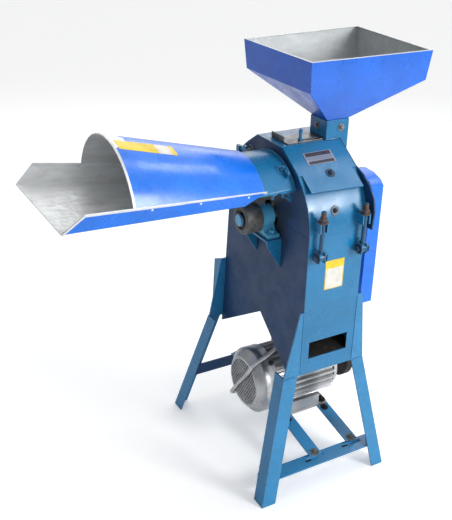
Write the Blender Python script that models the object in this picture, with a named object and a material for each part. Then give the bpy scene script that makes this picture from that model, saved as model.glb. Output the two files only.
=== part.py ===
"""Combined chaff cutter and hammer mill on a splayed angle-iron stand, with its motor below.

Blender 4.5, metres, +Z up.  X runs along the rotor axis (-X is the feed trough, +X the belt),
-Y is the front with the discharge window.  The pieces are modelled in the mill's own frame:
X = 0 at the middle of the grinding chamber, Y = 0 on the rotor axis, Z = 0 on the floor.
One empty then puts the middle of the whole machine's base at the world origin.
"""
import math

import bmesh
import bpy
from mathutils import Matrix, Vector

# ---------------------------------------------------------------- clearances and sheet sizes
GAP = 0.0003            # faces that touch
RUN = 0.0003            # radial clearance of a shaft in its bore
PLATE = 0.004           # side plates
SHEET = 0.003           # front and rear panels, hood shell
THIN = 0.0015           # trough, cover and hopper sheet
DUCT = 0.002            # inlet duct and chute sheet

# ---------------------------------------------------------------- casing
SHAFT_Z = 0.800         # height of the rotor axis, and of the split between hood and casing
HALF = 0.088            # outer half width of the casing
HOOD_R = 0.192          # front curve of the hood about the rotor axis
FRONT_Y = -HOOD_R       # outer face of the front panel
PANEL_BOTTOM = 0.386
BACK_TOP_Y = 0.222      # the rear panel slants from here at the split ...
BACK_LOW_Y = 0.2555     # ... to here at its lower edge
BACK_BOTTOM = 0.335
NOTCH_R = 0.040         # half-round shaft openings in the side plates
PLATE_ARCH = (0.028, 0.480)     # (y, z) of the top of the arch under the side plates
PLATE_TOE = (-0.118, 0.363)
WINDOW_HALF = 0.064     # discharge window in the front panel
WINDOW_Z = (0.4335, 0.4860)
SLIDE_RISE = 0.45       # slope of the discharge slide
SLIDE_BACK_Y = 0.231

# ---------------------------------------------------------------- hood
HOOD_TOP = SHAFT_Z + 0.203
TOP_FRONT_Y = -0.040
TOP_BACK_Y = 0.082
TANGENT_DEG = 130.0     # where the front curve meets the straight slope
REAR_R = 0.205
REAR_DEG = 56.5
HOOD_RIGHT = HALF + 0.006       # the hood is a little wider than the casing on the belt side
FLANGE = 0.005
LIP_X = (-HALF + 0.011, HALF - 0.005)
LIP_REACH = (0.155, 0.163)      # left and right ends of the lip, measured down the slope
COVER_START = 0.006
COVER_SHEET = 0.0025
FEED_HOLE_X = (HALF - 0.032, HALF - 0.002)
FEED_HOLE_Y = (-0.032, 0.026)
HINGE_R = 0.008
HINGE_PIN_R = 0.004
HINGE_LENGTH = 0.070    # middle knuckle, on the hood
HINGE_SIDE = 0.030      # each outer knuckle, on the rear panel
HINGE_LEAF = 0.030
HINGE_OFF = 0.001       # between the barrel and the rear panel

# ---------------------------------------------------------------- inlet, trough and its cover
DUCT_HALF = 0.118
DUCT_FLOOR = SHAFT_Z + 0.1085
DUCT_SIDE = 0.0065      # upright part of the duct's sides
DUCT_RISE = 0.066
DUCT_END_X = -HALF - 0.157
# (x, y, z) of the trough's floor corner and rim at its open end and at the duct
TROUGH_OUT = {"floor": (-HALF - 0.643, 0.171, SHAFT_Z + 0.133),
              "rim": (-HALF - 0.592, 0.187, SHAFT_Z + 0.177)}
TROUGH_IN = {"floor": (-HALF - 0.152, DUCT_HALF + 0.0009, SHAFT_Z + 0.093),
             "rim": (-HALF - 0.089, DUCT_HALF + 0.0030, SHAFT_Z + 0.122)}
COVER_X = (-HALF - 0.472, -HALF - 0.096)
COVER_RISE = (0.120, 0.067)
COVER_TUCK = 0.80       # how far up the trough wall the cover's foot starts
COVER_PLAY = 0.0008
KNIFE_BAR = (0.0045, 0.0165)    # fixed knife: thickness and depth below the duct floor
KNIFE_BAR_HALF = 0.100

# ---------------------------------------------------------------- chute, gate and hopper
CHUTE_X = (HALF - 0.038, HALF + 0.034)
CHUTE_Y = (-0.042, 0.034)
CHUTE_TOP = SHAFT_Z + 0.255
CHUTE_LOW = SHAFT_Z + 0.118     # foot of the half that hangs outside the hood
GATE_Y = (-0.034, 0.028)
GATE_SHEET = 0.003
GATE_END_X = HALF - 0.006
GATE_OUT_X = -HALF + 0.022
GATE_TRAVEL = 0.060
GATE_HANDLE = 0.016
HANDLE_Y = (-0.014, 0.046)
STUD_XY = (-0.020, -0.024)
STUD_R = 0.004
STUD_TOP = HOOD_TOP + 0.035
NUT_R = 0.0075
NUT_TALL = 0.0065
NECK = 0.030            # depth of the hopper's neck inside the chute
HOPPER_X = (HALF - 0.141, HALF + 0.248)
HOPPER_Y = (-0.100, 0.228)
HOPPER_RIM = SHAFT_Z + 0.429
RIM_RISE = 0.009        # the rim climbs to its corner at the back and right
RIM_FLANGE = 0.008
HOPPER_BAND = 0.080
HOPPER_INSET = 0.007

# ---------------------------------------------------------------- rotor
SHAFT_R = 0.0175
SHAFT_BODY_R = SHAFT_R + 0.0045
SHAFT_X = (-HALF - 0.100, HALF + 0.1595)
SHAFT_BODY_X = (-HALF + 0.009, HALF - 0.008)
DISC_THICK = 0.006
KNIFE_DISC_X = -HALF + 0.018
KNIFE_DISC_THICK = 0.008
KNIFE_DISC_R = 0.160
KNIFE_THICK = 0.007
KNIFE_REACH = (0.040, 0.150)
KNIFE_WIDE = (-0.026, 0.028)
KNIFE_BEVEL = 0.012
HAMMER_DISC_X = (-HALF + 0.054, HALF - 0.028)
HAMMER_DISC_R = 0.118
PIN_ORBIT = 0.100
PIN_R = 0.006
PIN_END = 0.004
PIN_DEGS = (90.0, 210.0, 330.0)
HAMMER_X = (HAMMER_DISC_X[0] + 0.026, HAMMER_DISC_X[1] - 0.030)     # left faces of the hammers
HAMMER_THICK = 0.006
HAMMER_WIDE = 0.040
HAMMER_REACH = (0.068, 0.015)   # from the pin, downwards and upwards, hanging at rest
RING_X = (-HALF - 0.094, -HALF - 0.042)
RING_R = 0.0415
SCREEN_R = 0.178
SCREEN_SHEET = 0.003
SCREEN_RIB = 0.028      # solid edge of the screen at each side plate
SCREEN_SLOT = 0.046     # width of each row of slots
SCREEN_ROWS = 15        # slots round each row

# ---------------------------------------------------------------- bearings
BEARING_R = 0.030
BEARING_LEFT_X = (-HALF - 0.0385, -HALF - 0.0015)
BEARING_RIGHT_X = (HALF + 0.034, HALF + 0.072)
BEARING_FOOT_Y = 0.055
BEARING_FOOT = 0.011
SHELF_TOP = SHAFT_Z - 0.0483
SHELF_THICK = 0.006
SHELF_Y = 0.065
SHELF_REACH = (HALF + 0.046, HALF + 0.1207)     # from the middle to the left and right shelf ends
GUSSET_LOW = SHAFT_Z - 0.135
GUSSET_THICK = 0.005
GUSSET_REACH = 0.046
GUSSET_EDGE = 0.014

# ---------------------------------------------------------------- stand
IRON = 0.045            # angle iron of the legs
IRON_THICK = 0.004
STUB = IRON_THICK + 0.001       # what is left of a web where it is cut away
BAR = 0.050             # angle iron of the front crossbar
FRONT_KNEE = (HALF + 0.053, FRONT_Y, PANEL_BOTTOM)
FRONT_FOOT = (HALF + 0.1325, FRONT_Y - 0.0465, 0.0)
FRONT_TIP = (HALF + 0.0105, 0.585)      # (x, z) of the top of the tapered upper plate
RIGHT_KNEE = (HALF + 0.041, FRONT_Y, PANEL_BOTTOM)
RIGHT_FOOT = (HALF + 0.127, FRONT_Y - 0.0465, 0.0)
RIGHT_TIP = (HALF + 0.018, 0.600)
RIGHT_IRON = 0.040      # the front right leg is cut from a narrower angle
BACK_KNEE = (HALF + 0.049, 0.2555, 0.360)
BACK_FOOT = (HALF + 0.1315, 0.334, 0.0)
BACK_TIP = (HALF + 0.017, 0.565)
BACK_WEB = 0.044
BACK_WEB_DROP = 0.018   # the web's top is cut sloping down to the back
WEB_END = 0.430
JOINT_LAP = 0.004       # overlap of the two halves of a leg at its bend
FRONT_BAR_TOP = 0.075
SLOT_HALF = (0.030, 0.0055)     # bolt slots in the front crossbar
SLOT_INSET = 0.034
REAR_BAR_TOP = 0.1645
REAR_BAR = 0.038
REAR_BAR_Y = 0.284

# ---------------------------------------------------------------- motor and belt drive
MOTOR_YZ = (0.050, 0.230)
MOTOR_TILT = math.atan(0.18)    # the rails climb towards the back
MOTOR_FOOT = 0.100      # shaft height above the rails
MOTOR_RAIL_X = (-0.010, 0.127)
RAIL_WIDE = 0.040
RAIL_THICK = 0.005
RAIL_FRONT = (-0.264, -0.258)   # front ends, measured along the rail from below the motor axis
FAN_END_X = -0.122
FAN_COVER_R = 0.1025
FAN_COVER_LONG = 0.067
FAN_HOLE = 0.006
AIR_PITCH = 0.0195
AIR_HOLE = 0.0062
AIR_FIELD = 0.082
AIR_ROWS = 5
FAN_X = 0.014           # gap between the fan and its cover
FAN_HUB = (0.026, 0.030)        # radius and length
FAN_BLADE = (0.086, 0.022)      # tip radius and width
STATOR_X = (-0.056, 0.150)
FOOT_X = (-0.036, 0.141)        # the motor's foot flanges
FOOT_WEB_X = (-0.010, 0.112)    # the raised web on them, with a bolt pocket at each end
STATOR_R = 0.086
FIN_TIP_R = 0.098
FIN_COUNT = 30
BELL_END_X = 0.198
MOTOR_SHAFT_R = 0.014
BELT_X = HALF + 0.142
MOTOR_SHAFT_END = BELT_X + 0.022
BELT_WIDE = 0.017
BELT_DEEP = 0.010
BELT_FLANK = 0.28       # how far each flank leans in, per unit of depth
DRIVEN_R = 0.050
MOTOR_PULLEY_R = 0.070
PULLEY_WIDE = 0.026
GUARD_X = (HALF + 0.121, HALF + 0.164)
GUARD_SHEET = 0.002
GUARD_HOLE = 0.010      # round the shaft
LEAD_R = 0.0055
BOX_X = (0.002, 0.097)  # terminal box on the motor
BOX_HALF = 0.045
BOX_TALL = 0.042
GLAND_LONG = 0.014
GLAND_R = 0.010

# ---------------------------------------------------------------- latches
LATCH_X = (-HALF + 0.026, HALF - 0.016)
LATCH_Y = FRONT_Y - 0.017
LATCH_PIVOT_Z = SHAFT_Z - 0.048
LATCH_ROD_R = 0.006
LATCH_EYE_R = 0.011
LATCH_TOP = SHAFT_Z + 0.080
LATCH_NUT = (0.0105, 0.0100)    # radius across corners and height
LATCH_WASHER = (0.0135, 0.0025)
LUG_Z = (SHAFT_Z + 0.022, SHAFT_Z + 0.050)
LUG_PLATE = 0.004
LUG_SLOT = 0.0025       # room beside the rod between the lug plates
LUG_INNER = LATCH_ROD_R + LUG_SLOT
LUG_FRONT_Y = LATCH_Y - 0.0075
EAR_SLOT = 0.0005       # room beside the rod between the ears
EAR_INNER = LATCH_ROD_R + EAR_SLOT
EAR_FRONT_Y = LATCH_Y - 0.011
EAR_HALF_Z = 0.014
EAR_PIN_R = 0.005

# world origin: middle of the machine's footprint
X_EXTENT = (TROUGH_OUT["floor"][0], HOPPER_X[1])
Y_EXTENT = (FRONT_FOOT[1], BACK_FOOT[1])
ORIGIN = Vector((-sum(X_EXTENT) / 2, -sum(Y_EXTENT) / 2, 0.0))


# ================================================================ modelling helpers
def material(name, color, rough, metallic=0.0):
    mat = bpy.data.materials.new(name)
    mat.use_nodes = True
    shader = mat.node_tree.nodes["Principled BSDF"]
    shader.inputs["Base Color"].default_value = (*color, 1.0)
    shader.inputs["Roughness"].default_value = rough
    shader.inputs["Metallic"].default_value = metallic
    return mat


def new_object(name, mesh):
    obj = bpy.data.objects.new(name, mesh)
    bpy.context.scene.collection.objects.link(obj)
    return obj


def from_faces(name, verts, faces):
    """A closed body from vertex and face lists, with its faces turned outwards."""
    bm = bmesh.new()
    made = [bm.verts.new(v) for v in verts]
    for face in faces:
        bm.faces.new([made[i] for i in face])
    bmesh.ops.recalc_face_normals(bm, faces=bm.faces)
    mesh = bpy.data.meshes.new(name)
    bm.to_mesh(mesh)
    bm.free()
    return new_object(name, mesh)


def place(axis, a, b, along):
    """A point from its two coordinates in the plane across an axis and its place along it."""
    return {"X": (along, a, b), "Y": (a, along, b), "Z": (a, b, along)}[axis]


def loft(name, sections):
    """A solid through closed sections with equal point counts, capped at both ends."""
    count = len(sections[0])
    verts = [p for section in sections for p in section]
    faces = [tuple(range(count)), tuple(range(len(verts) - count, len(verts)))]
    for s in range(len(sections) - 1):
        for i in range(count):
            j = (i + 1) % count
            faces.append((s * count + i, s * count + j, (s + 1) * count + j, (s + 1) * count + i))
    return from_faces(name, verts, faces)


def prism(name, outline, axis, low, high):
    """An outline in the plane across an axis, extruded along it."""
    return loft(name, [[place(axis, a, b, at) for a, b in outline] for at in (low, high)])


def tube(name, rings):
    """A closed skin through rings that come back to the first one: a pipe with a wall."""
    count = len(rings[0])
    verts = [p for ring in rings for p in ring]
    faces = []
    for s in range(len(rings)):
        t = (s + 1) % len(rings)
        for i in range(count):
            j = (i + 1) % count
            faces.append((s * count + i, s * count + j, t * count + j, t * count + i))
    return from_faces(name, verts, faces)


def box(name, low, high):
    return prism(name, rect(low[0], low[1], high[0], high[1]), "Z", low[2], high[2])


def rect(a0, b0, a1, b1):
    return [(a0, b0), (a1, b0), (a1, b1), (a0, b1)]


def arc(centre, radius, start, end, steps):
    """Points on a circular arc, angles in degrees."""
    points = []
    for i in range(steps + 1):
        angle = math.radians(start + (end - start) * i / steps)
        points.append((centre[0] + radius * math.cos(angle), centre[1] + radius * math.sin(angle)))
    return points


def turned(name, profile, centre=(0.0, 0.0), segments=32, bored=True):
    """A body of revolution about X.  The profile holds (x, radius) points, closed if bored."""
    rings = []
    for x, radius in profile:
        ring = arc(centre, radius, 0.0, 360.0 * (segments - 1) / segments, segments - 1)
        rings.append([(x, a, b) for a, b in ring])
    obj = tube(name, rings) if bored else loft(name, rings)
    return smooth(obj)


def washer(name, x0, x1, inner, outer, centre=(0.0, 0.0), segments=32):
    profile = [(x0, inner), (x1, inner), (x1, outer), (x0, outer)]
    return turned(name, profile, centre, segments)


def rod(name, x0, x1, radius, centre=(0.0, 0.0), segments=24):
    return turned(name, [(x0, radius), (x1, radius)], centre, segments, bored=False)


def smooth(obj):
    obj.data.shade_smooth()
    obj.data.set_sharp_from_angle(angle=math.radians(35.0))
    return obj


def combine(target, other, operation):
    """Apply an exact Boolean of two bodies and drop the second one."""
    modifier = target.modifiers.new("shape", "BOOLEAN")
    modifier.operation = operation
    modifier.object = other
    modifier.solver = "EXACT"
    graph = bpy.context.evaluated_depsgraph_get()
    mesh = bpy.data.meshes.new_from_object(target.evaluated_get(graph))
    target.modifiers.clear()
    target.data = mesh
    bpy.data.objects.remove(other)
    return target


def cut(target, *cutters):
    for cutter in cutters:
        combine(target, cutter, "DIFFERENCE")
    return target


def weld(target, *others):
    for other in others:
        combine(target, other, "UNION")
    return target


def offset(points, distance):
    """An open outline moved sideways by a distance, to the left of its direction."""
    moved = []
    for i, point in enumerate(points):
        before = Vector(points[max(i - 1, 0)])
        here = Vector(point)
        after = Vector(points[min(i + 1, len(points) - 1)])
        normals = []
        for a, b in ((before, here), (here, after)):
            if (b - a).length > 0.0:
                step = (b - a).normalized()
                normals.append(Vector((-step.y, step.x)))
        bisector = sum(normals, Vector((0.0, 0.0))).normalized()
        reach = distance / bisector.dot(normals[0])
        moved.append(tuple(here + bisector * reach))
    return moved


def blend(a, b, t):
    return tuple(p + (q - p) * t for p, q in zip(a, b))


# ================================================================ shared outlines
def back_y(z):
    """Outer face of the slanted rear panel."""
    t = (SHAFT_Z - z) / (SHAFT_Z - BACK_BOTTOM)
    return BACK_TOP_Y + (BACK_LOW_Y - BACK_TOP_Y) * t


SPLIT_LOW = SHAFT_Z - GAP / 2
SPLIT_HIGH = SHAFT_Z + GAP / 2


def hood_outline():
    """Outer face of the hood from its front foot over the top to its rear foot, as (y, z)."""
    rear_centre = (BACK_TOP_Y - REAR_R, SHAFT_Z)
    front = arc((0.0, SHAFT_Z), HOOD_R, 180.0, TANGENT_DEG, 6)
    rear = arc(rear_centre, REAR_R, REAR_DEG, 0.0, 6)
    points = front + [(TOP_FRONT_Y, HOOD_TOP), (TOP_BACK_Y, HOOD_TOP)] + rear
    points[0] = (points[0][0], SPLIT_HIGH)
    points[-1] = (points[-1][0], SPLIT_HIGH)
    return points


def inside_hood(distance):
    """The hood outline moved inwards, with its feet back on the split."""
    points = offset(hood_outline(), -distance)
    points[0] = (points[0][0], SPLIT_HIGH)
    points[-1] = (points[-1][0], SPLIT_HIGH)
    return points


def shaft_notch(z, upper):
    """Half-round opening in an edge at the split, from its back to its front."""
    reach = math.degrees(math.asin(abs(z - SHAFT_Z) / NOTCH_R))
    if upper:
        return arc((0.0, SHAFT_Z), NOTCH_R, reach, 180.0 - reach, 10)
    return arc((0.0, SHAFT_Z), NOTCH_R, -reach, reach - 180.0, 10)


def duct_outline(inset):
    """Flat floor, short upright sides and an arched roof, as (y, z)."""
    half = DUCT_HALF - inset
    spring = DUCT_FLOOR + DUCT_SIDE
    rise = DUCT_RISE - inset
    radius = (half ** 2 + rise ** 2) / (2 * rise)
    half_angle = math.degrees(math.asin(half / radius))
    centre = (0.0, spring + rise - radius)
    roof = arc(centre, radius, 90.0 - half_angle, 90.0 + half_angle, 14)
    return [(-half, DUCT_FLOOR + inset), (half, DUCT_FLOOR + inset)] + roof


def slope_frame():
    """Matrix from (x, up the slope, out of it) to the mill's frame, from the slope's top edge."""
    knee = hood_outline()[6]
    up = (Vector((0.0, TOP_FRONT_Y, HOOD_TOP)) - Vector((0.0, *knee))).normalized()
    across = Vector((1.0, 0.0, 0.0))
    frame = Matrix((across, up, across.cross(up))).transposed().to_4x4()
    frame.translation = Vector((0.0, TOP_FRONT_Y, HOOD_TOP))
    return frame


def motor_frame():
    """The motor is modelled about its own shaft and tilted with its rails."""
    return Matrix.Translation((0.0, *MOTOR_YZ)) @ Matrix.Rotation(MOTOR_TILT, 4, "X")


# ================================================================ casing
def side_plate(name, x0):
    outline = [(FRONT_Y + SHEET + GAP, SPLIT_LOW)]
    outline += list(reversed(shaft_notch(SPLIT_LOW, upper=False)))
    inner_top = back_y(SPLIT_LOW) - SHEET - GAP
    inner_low = back_y(BACK_BOTTOM) - SHEET - GAP
    outline += [(inner_top, SPLIT_LOW), (inner_low, BACK_BOTTOM), PLATE_ARCH, PLATE_TOE]
    outline += [(FRONT_Y + SHEET + GAP, PANEL_BOTTOM)]
    return prism(name, outline, "X", x0, x0 + PLATE)


def front_panel():
    panel = box("front_panel", (-HALF, FRONT_Y, PANEL_BOTTOM), (HALF, FRONT_Y + SHEET, SPLIT_LOW))
    cut(panel, box("window", (-WINDOW_HALF, FRONT_Y - SHEET, WINDOW_Z[0]),
                   (WINDOW_HALF, FRONT_Y + 2 * SHEET, WINDOW_Z[1])))
    low, high = LATCH_PIVOT_Z - EAR_HALF_Z, LATCH_PIVOT_Z + EAR_HALF_Z
    for x in LATCH_X:
        for inner, outer in ((-EAR_INNER, -EAR_INNER - LUG_PLATE), (EAR_INNER, EAR_INNER + LUG_PLATE)):
            ear = box("ear", (x + min(inner, outer), EAR_FRONT_Y, low),
                      (x + max(inner, outer), FRONT_Y + SHEET / 2, high))
            weld(panel, ear)
        reach = EAR_INNER + LUG_PLATE / 2
        weld(panel, rod("pin", x - reach, x + reach, EAR_PIN_R, (LATCH_Y, LATCH_PIVOT_Z), 16))
    return panel


def hinge_centre():
    return (BACK_TOP_Y + HINGE_R + HINGE_OFF, SHAFT_Z)


def knuckle(x0, x1, name="knuckle"):
    return washer(name, x0, x1, HINGE_PIN_R + RUN, HINGE_R, hinge_centre(), 20)


def rear_panel():
    outline = [(back_y(SPLIT_LOW), SPLIT_LOW), (back_y(BACK_BOTTOM), BACK_BOTTOM),
               (back_y(BACK_BOTTOM) - SHEET, BACK_BOTTOM), (back_y(SPLIT_LOW) - SHEET, SPLIT_LOW)]
    panel = prism("rear_panel", outline, "X", -HALF, HALF)
    y, z = hinge_centre()
    for side in (-1, 1):
        near = side * (HINGE_LENGTH / 2 + GAP)
        far = side * (HINGE_LENGTH / 2 + GAP + HINGE_SIDE)
        x0, x1 = min(near, far), max(near, far)
        leaf = box("leaf", (x0, BACK_TOP_Y - SHEET / 2, z - HINGE_LEAF), (x1, y, z - HINGE_R + SHEET))
        weld(panel, leaf, knuckle(x0, x1))
    return panel


def discharge_slide():
    front = FRONT_Y + SHEET + GAP
    low = WINDOW_Z[0] - SHEET
    high = low + SLIDE_RISE * (SLIDE_BACK_Y - front)
    outline = [(front, low), (SLIDE_BACK_Y, high), (SLIDE_BACK_Y, high + DUCT), (front, low + DUCT)]
    x = HALF - PLATE - GAP
    return prism("discharge_slide", outline, "X", -x, x)


def screen():
    """Perforated half cylinder under the hammers: a grid of cells with slots between the ribs."""
    edges_x = (-HALF + SCREEN_RIB, HALF - SCREEN_RIB)
    across = [-HALF + PLATE + GAP, edges_x[0], edges_x[0] + SCREEN_SLOT, edges_x[1] - SCREEN_SLOT,
              edges_x[1], HALF - PLATE - GAP]
    slots_across = (1, 3)
    start, end = 181.5, 358.5
    points = {}
    verts = []
    for side, radius in enumerate((SCREEN_R, SCREEN_R - SCREEN_SHEET)):
        for i, x in enumerate(across):
            for j in range(SCREEN_ROWS * 2 + 1):
                angle = math.radians(start + (end - start) * j / (SCREEN_ROWS * 2))
                points[side, i, j] = len(verts)
                verts.append((x, radius * math.cos(angle), SHAFT_Z + radius * math.sin(angle)))
    cells = {}
    for i in range(len(across) - 1):
        for j in range(SCREEN_ROWS * 2):
            cells[i, j] = not (i in slots_across and j % 2 == 1)
    faces = []
    for (i, j), solid in cells.items():
        if not solid:
            continue
        for side in (0, 1):
            faces.append([points[side, i, j], points[side, i + 1, j],
                          points[side, i + 1, j + 1], points[side, i, j + 1]])
        edges = (((i, j), (i + 1, j), (i, j - 1)), ((i + 1, j), (i + 1, j + 1), (i + 1, j)),
                 ((i + 1, j + 1), (i, j + 1), (i, j + 1)), ((i, j + 1), (i, j), (i - 1, j)))
        for a, b, beyond in edges:
            if not cells.get(beyond, False):
                faces.append([points[0, *a], points[0, *b], points[1, *b], points[1, *a]])
    return smooth(from_faces("screen", verts, faces))


# ================================================================ hood and what it carries
def hood_shell():
    outline = hood_outline() + list(reversed(inside_hood(SHEET)))
    shell = prism("hood_shell", outline, "X", -HALF, HOOD_RIGHT)
    cut(shell, box("feed_hole", (FEED_HOLE_X[0], FEED_HOLE_Y[0], HOOD_TOP - 0.02),
                   (FEED_HOLE_X[1], FEED_HOLE_Y[1], HOOD_TOP + 0.02)))
    for x in LATCH_X:
        for inner, outer in ((-LUG_INNER, -LUG_INNER - LUG_PLATE), (LUG_INNER, LUG_INNER + LUG_PLATE)):
            weld(shell, box("lug", (x + min(inner, outer), LUG_FRONT_Y, LUG_Z[0]),
                            (x + max(inner, outer), FRONT_Y + 0.006, LUG_Z[1])))
    half = HINGE_LENGTH / 2
    y, z = hinge_centre()
    leaf = box("leaf", (-half, BACK_TOP_Y - SHEET / 2, z + HINGE_R - SHEET), (half, y, z + HINGE_LEAF))
    return weld(shell, leaf, knuckle(-half, half))


def hood_left_plate():
    outline = inside_hood(SHEET + GAP) + shaft_notch(SPLIT_HIGH, upper=True)
    plate = prism("hood_left_plate", outline, "X", -HALF, -HALF + PLATE)
    return cut(plate, prism("inlet", duct_outline(DUCT), "X", -HALF - PLATE, -HALF + 2 * PLATE))


def hood_right_plate():
    """End plate of the hood on the belt side.  Its front swells out past the hood's curve."""
    outline = hood_outline()[9:]
    swell = [(-0.216, 0.050), (-0.208, 0.087), (-0.185, 0.115), (-0.155, 0.137), (-0.118, 0.151)]
    front = [(-0.212, SPLIT_HIGH)] + [(y, SHAFT_Z + z) for y, z in swell]
    front += [(TOP_FRONT_Y, HOOD_TOP), (TOP_BACK_Y, HOOD_TOP)]
    outline = front + outline + shaft_notch(SPLIT_HIGH, upper=True)
    return prism("hood_right_plate", outline, "X", HOOD_RIGHT + GAP, HOOD_RIGHT + GAP + FLANGE)


def hood_slope_cover():
    """Sheet on the front slope that runs on past the curve as a drip lip."""
    flush = (Vector(hood_outline()[6]) - Vector((TOP_FRONT_Y, HOOD_TOP))).length
    outline = [(-HALF, -COVER_START), (HOOD_RIGHT, -COVER_START), (HOOD_RIGHT, -flush),
               (LIP_X[1], -flush), (LIP_X[1], -LIP_REACH[1]), (LIP_X[0], -LIP_REACH[0]),
               (LIP_X[0], -flush), (-HALF, -flush)]
    cover = prism("hood_slope_cover", outline, "Z", GAP, GAP + COVER_SHEET)
    cover.data.transform(slope_frame())
    return cover


def inlet_duct():
    x_in = -HALF - GAP
    rings = [[(x, y, z) for y, z in duct_outline(inset)]
             for x, inset in ((x_in, 0.0), (DUCT_END_X, 0.0), (DUCT_END_X, DUCT), (x_in, DUCT))]
    return smooth(tube("inlet_duct", rings))


def trough_point(part, t):
    """Outer face of the trough at its floor corner or rim, from its open end (0) to the duct (1)."""
    return blend(TROUGH_OUT[part], TROUGH_IN[part], t)


def trough():
    sections = []
    for t in (0.0, 0.25, 0.5, 0.75, 1.0):
        fx, fy, fz = trough_point("floor", t)
        rx, ry, rz = trough_point("rim", t)
        outer = [(rx, -ry, rz), (fx, -fy, fz), (fx, fy, fz), (rx, ry, rz)]
        inner = [(rx, ry - THIN, rz), (fx, fy - THIN, fz + THIN),
                 (fx, -fy + THIN, fz + THIN), (rx, -ry + THIN, rz)]
        sections.append(outer + inner)
    return loft("trough", sections)


def cover_ring(t, rise, inset):
    """Foot, arch and foot of the trough cover, tucked inside the trough's rim."""
    fx, fy, fz = trough_point("floor", t)
    rx, ry, rz = trough_point("rim", t)
    foot = blend((fx, fy, fz), (rx, ry, rz), COVER_TUCK)
    sink = THIN + COVER_PLAY + inset
    half = ry - sink
    height = rise - inset
    radius = (half ** 2 + height ** 2) / (2 * height)
    half_angle = math.degrees(math.asin(min(half / radius, 1.0)))
    if height > half:
        half_angle = 180.0 - half_angle
    roof = arc((0.0, rz + height - radius), radius, 90.0 - half_angle, 90.0 + half_angle, 16)
    ring = [(foot[0], foot[1] - sink, foot[2])] + [(rx, y, z) for y, z in roof]
    return ring + [(foot[0], -foot[1] + sink, foot[2])]


def trough_cover():
    span = TROUGH_IN["rim"][0] - TROUGH_OUT["rim"][0]
    sections = []
    for i in range(4):
        share = i / 3
        x = COVER_X[0] + (COVER_X[1] - COVER_X[0]) * share
        t = (x - TROUGH_OUT["rim"][0]) / span
        rise = COVER_RISE[0] + (COVER_RISE[1] - COVER_RISE[0]) * share
        sections.append(cover_ring(t, rise, 0.0) + list(reversed(cover_ring(t, rise, THIN))))
    return smooth(loft("trough_cover", sections))


def fixed_knife():
    x = -HALF + PLATE + GAP
    thick, deep = KNIFE_BAR
    outline = [(x, DUCT_FLOOR - deep), (x + thick, DUCT_FLOOR - deep + 0.002), (x + thick, DUCT_FLOOR),
               (x, DUCT_FLOOR)]
    return prism("fixed_knife", outline, "Y", -KNIFE_BAR_HALF, KNIFE_BAR_HALF)


def chute():
    x0, x1 = CHUTE_X
    y0, y1 = CHUTE_Y
    step = HOOD_RIGHT + 2 * GAP + FLANGE
    foot = HOOD_TOP + GAP
    outline = [(x0, foot), (step, foot), (step, CHUTE_LOW), (x1, CHUTE_LOW), (x1, CHUTE_TOP),
               (x0, CHUTE_TOP)]
    body = prism("chute", outline, "Y", y0, y1)
    above = CHUTE_TOP + 0.01
    cut(body, box("bore", (x0 + DUCT, y0 + DUCT, foot - 0.01), (step - 0.004, y1 - DUCT, above)))
    cut(body, box("pocket", (step + DUCT, y0 + DUCT, CHUTE_LOW + DUCT), (x1 - DUCT, y1 - DUCT, above)))
    cut(body, box("throat", (step - 0.006, y0 + DUCT, foot + DUCT), (step + 0.006, y1 - DUCT, above)))
    gate_slot = box("slot", (x0 - 0.01, GATE_Y[0] - GAP, HOOD_TOP), (x0 + 0.01, GATE_Y[1] + GAP,
                    HOOD_TOP + 3 * GAP + GATE_SHEET))
    return cut(body, gate_slot)


def feed_gate():
    z0 = HOOD_TOP + 2 * GAP
    x0 = GATE_OUT_X
    plate = box("feed_gate", (x0, GATE_Y[0], z0), (GATE_END_X, GATE_Y[1], z0 + GATE_SHEET))
    handle = box("handle", (x0, HANDLE_Y[0], z0), (x0 + GATE_SHEET, HANDLE_Y[1], z0 + GATE_HANDLE))
    slot_half = STUD_R + 0.0005
    slot = box("slot", (STUD_XY[0] - slot_half, STUD_XY[1] - slot_half, z0 - 0.01),
               (STUD_XY[0] + slot_half + GATE_TRAVEL, STUD_XY[1] + slot_half, z0 + 0.01))
    return cut(weld(plate, handle), slot)


def gate_clamp():
    """Stud on the hood with a nut that pinches the gate."""
    foot = HOOD_TOP + GAP
    nut_z = HOOD_TOP + 3 * GAP + GATE_SHEET
    stud = prism("gate_clamp", arc(STUD_XY, STUD_R, 0.0, 337.5, 15), "Z", foot, STUD_TOP)
    weld(stud, prism("nut", arc(STUD_XY, NUT_R, 0.0, 300.0, 5), "Z", nut_z, nut_z + NUT_TALL))
    return smooth(stud)


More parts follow.
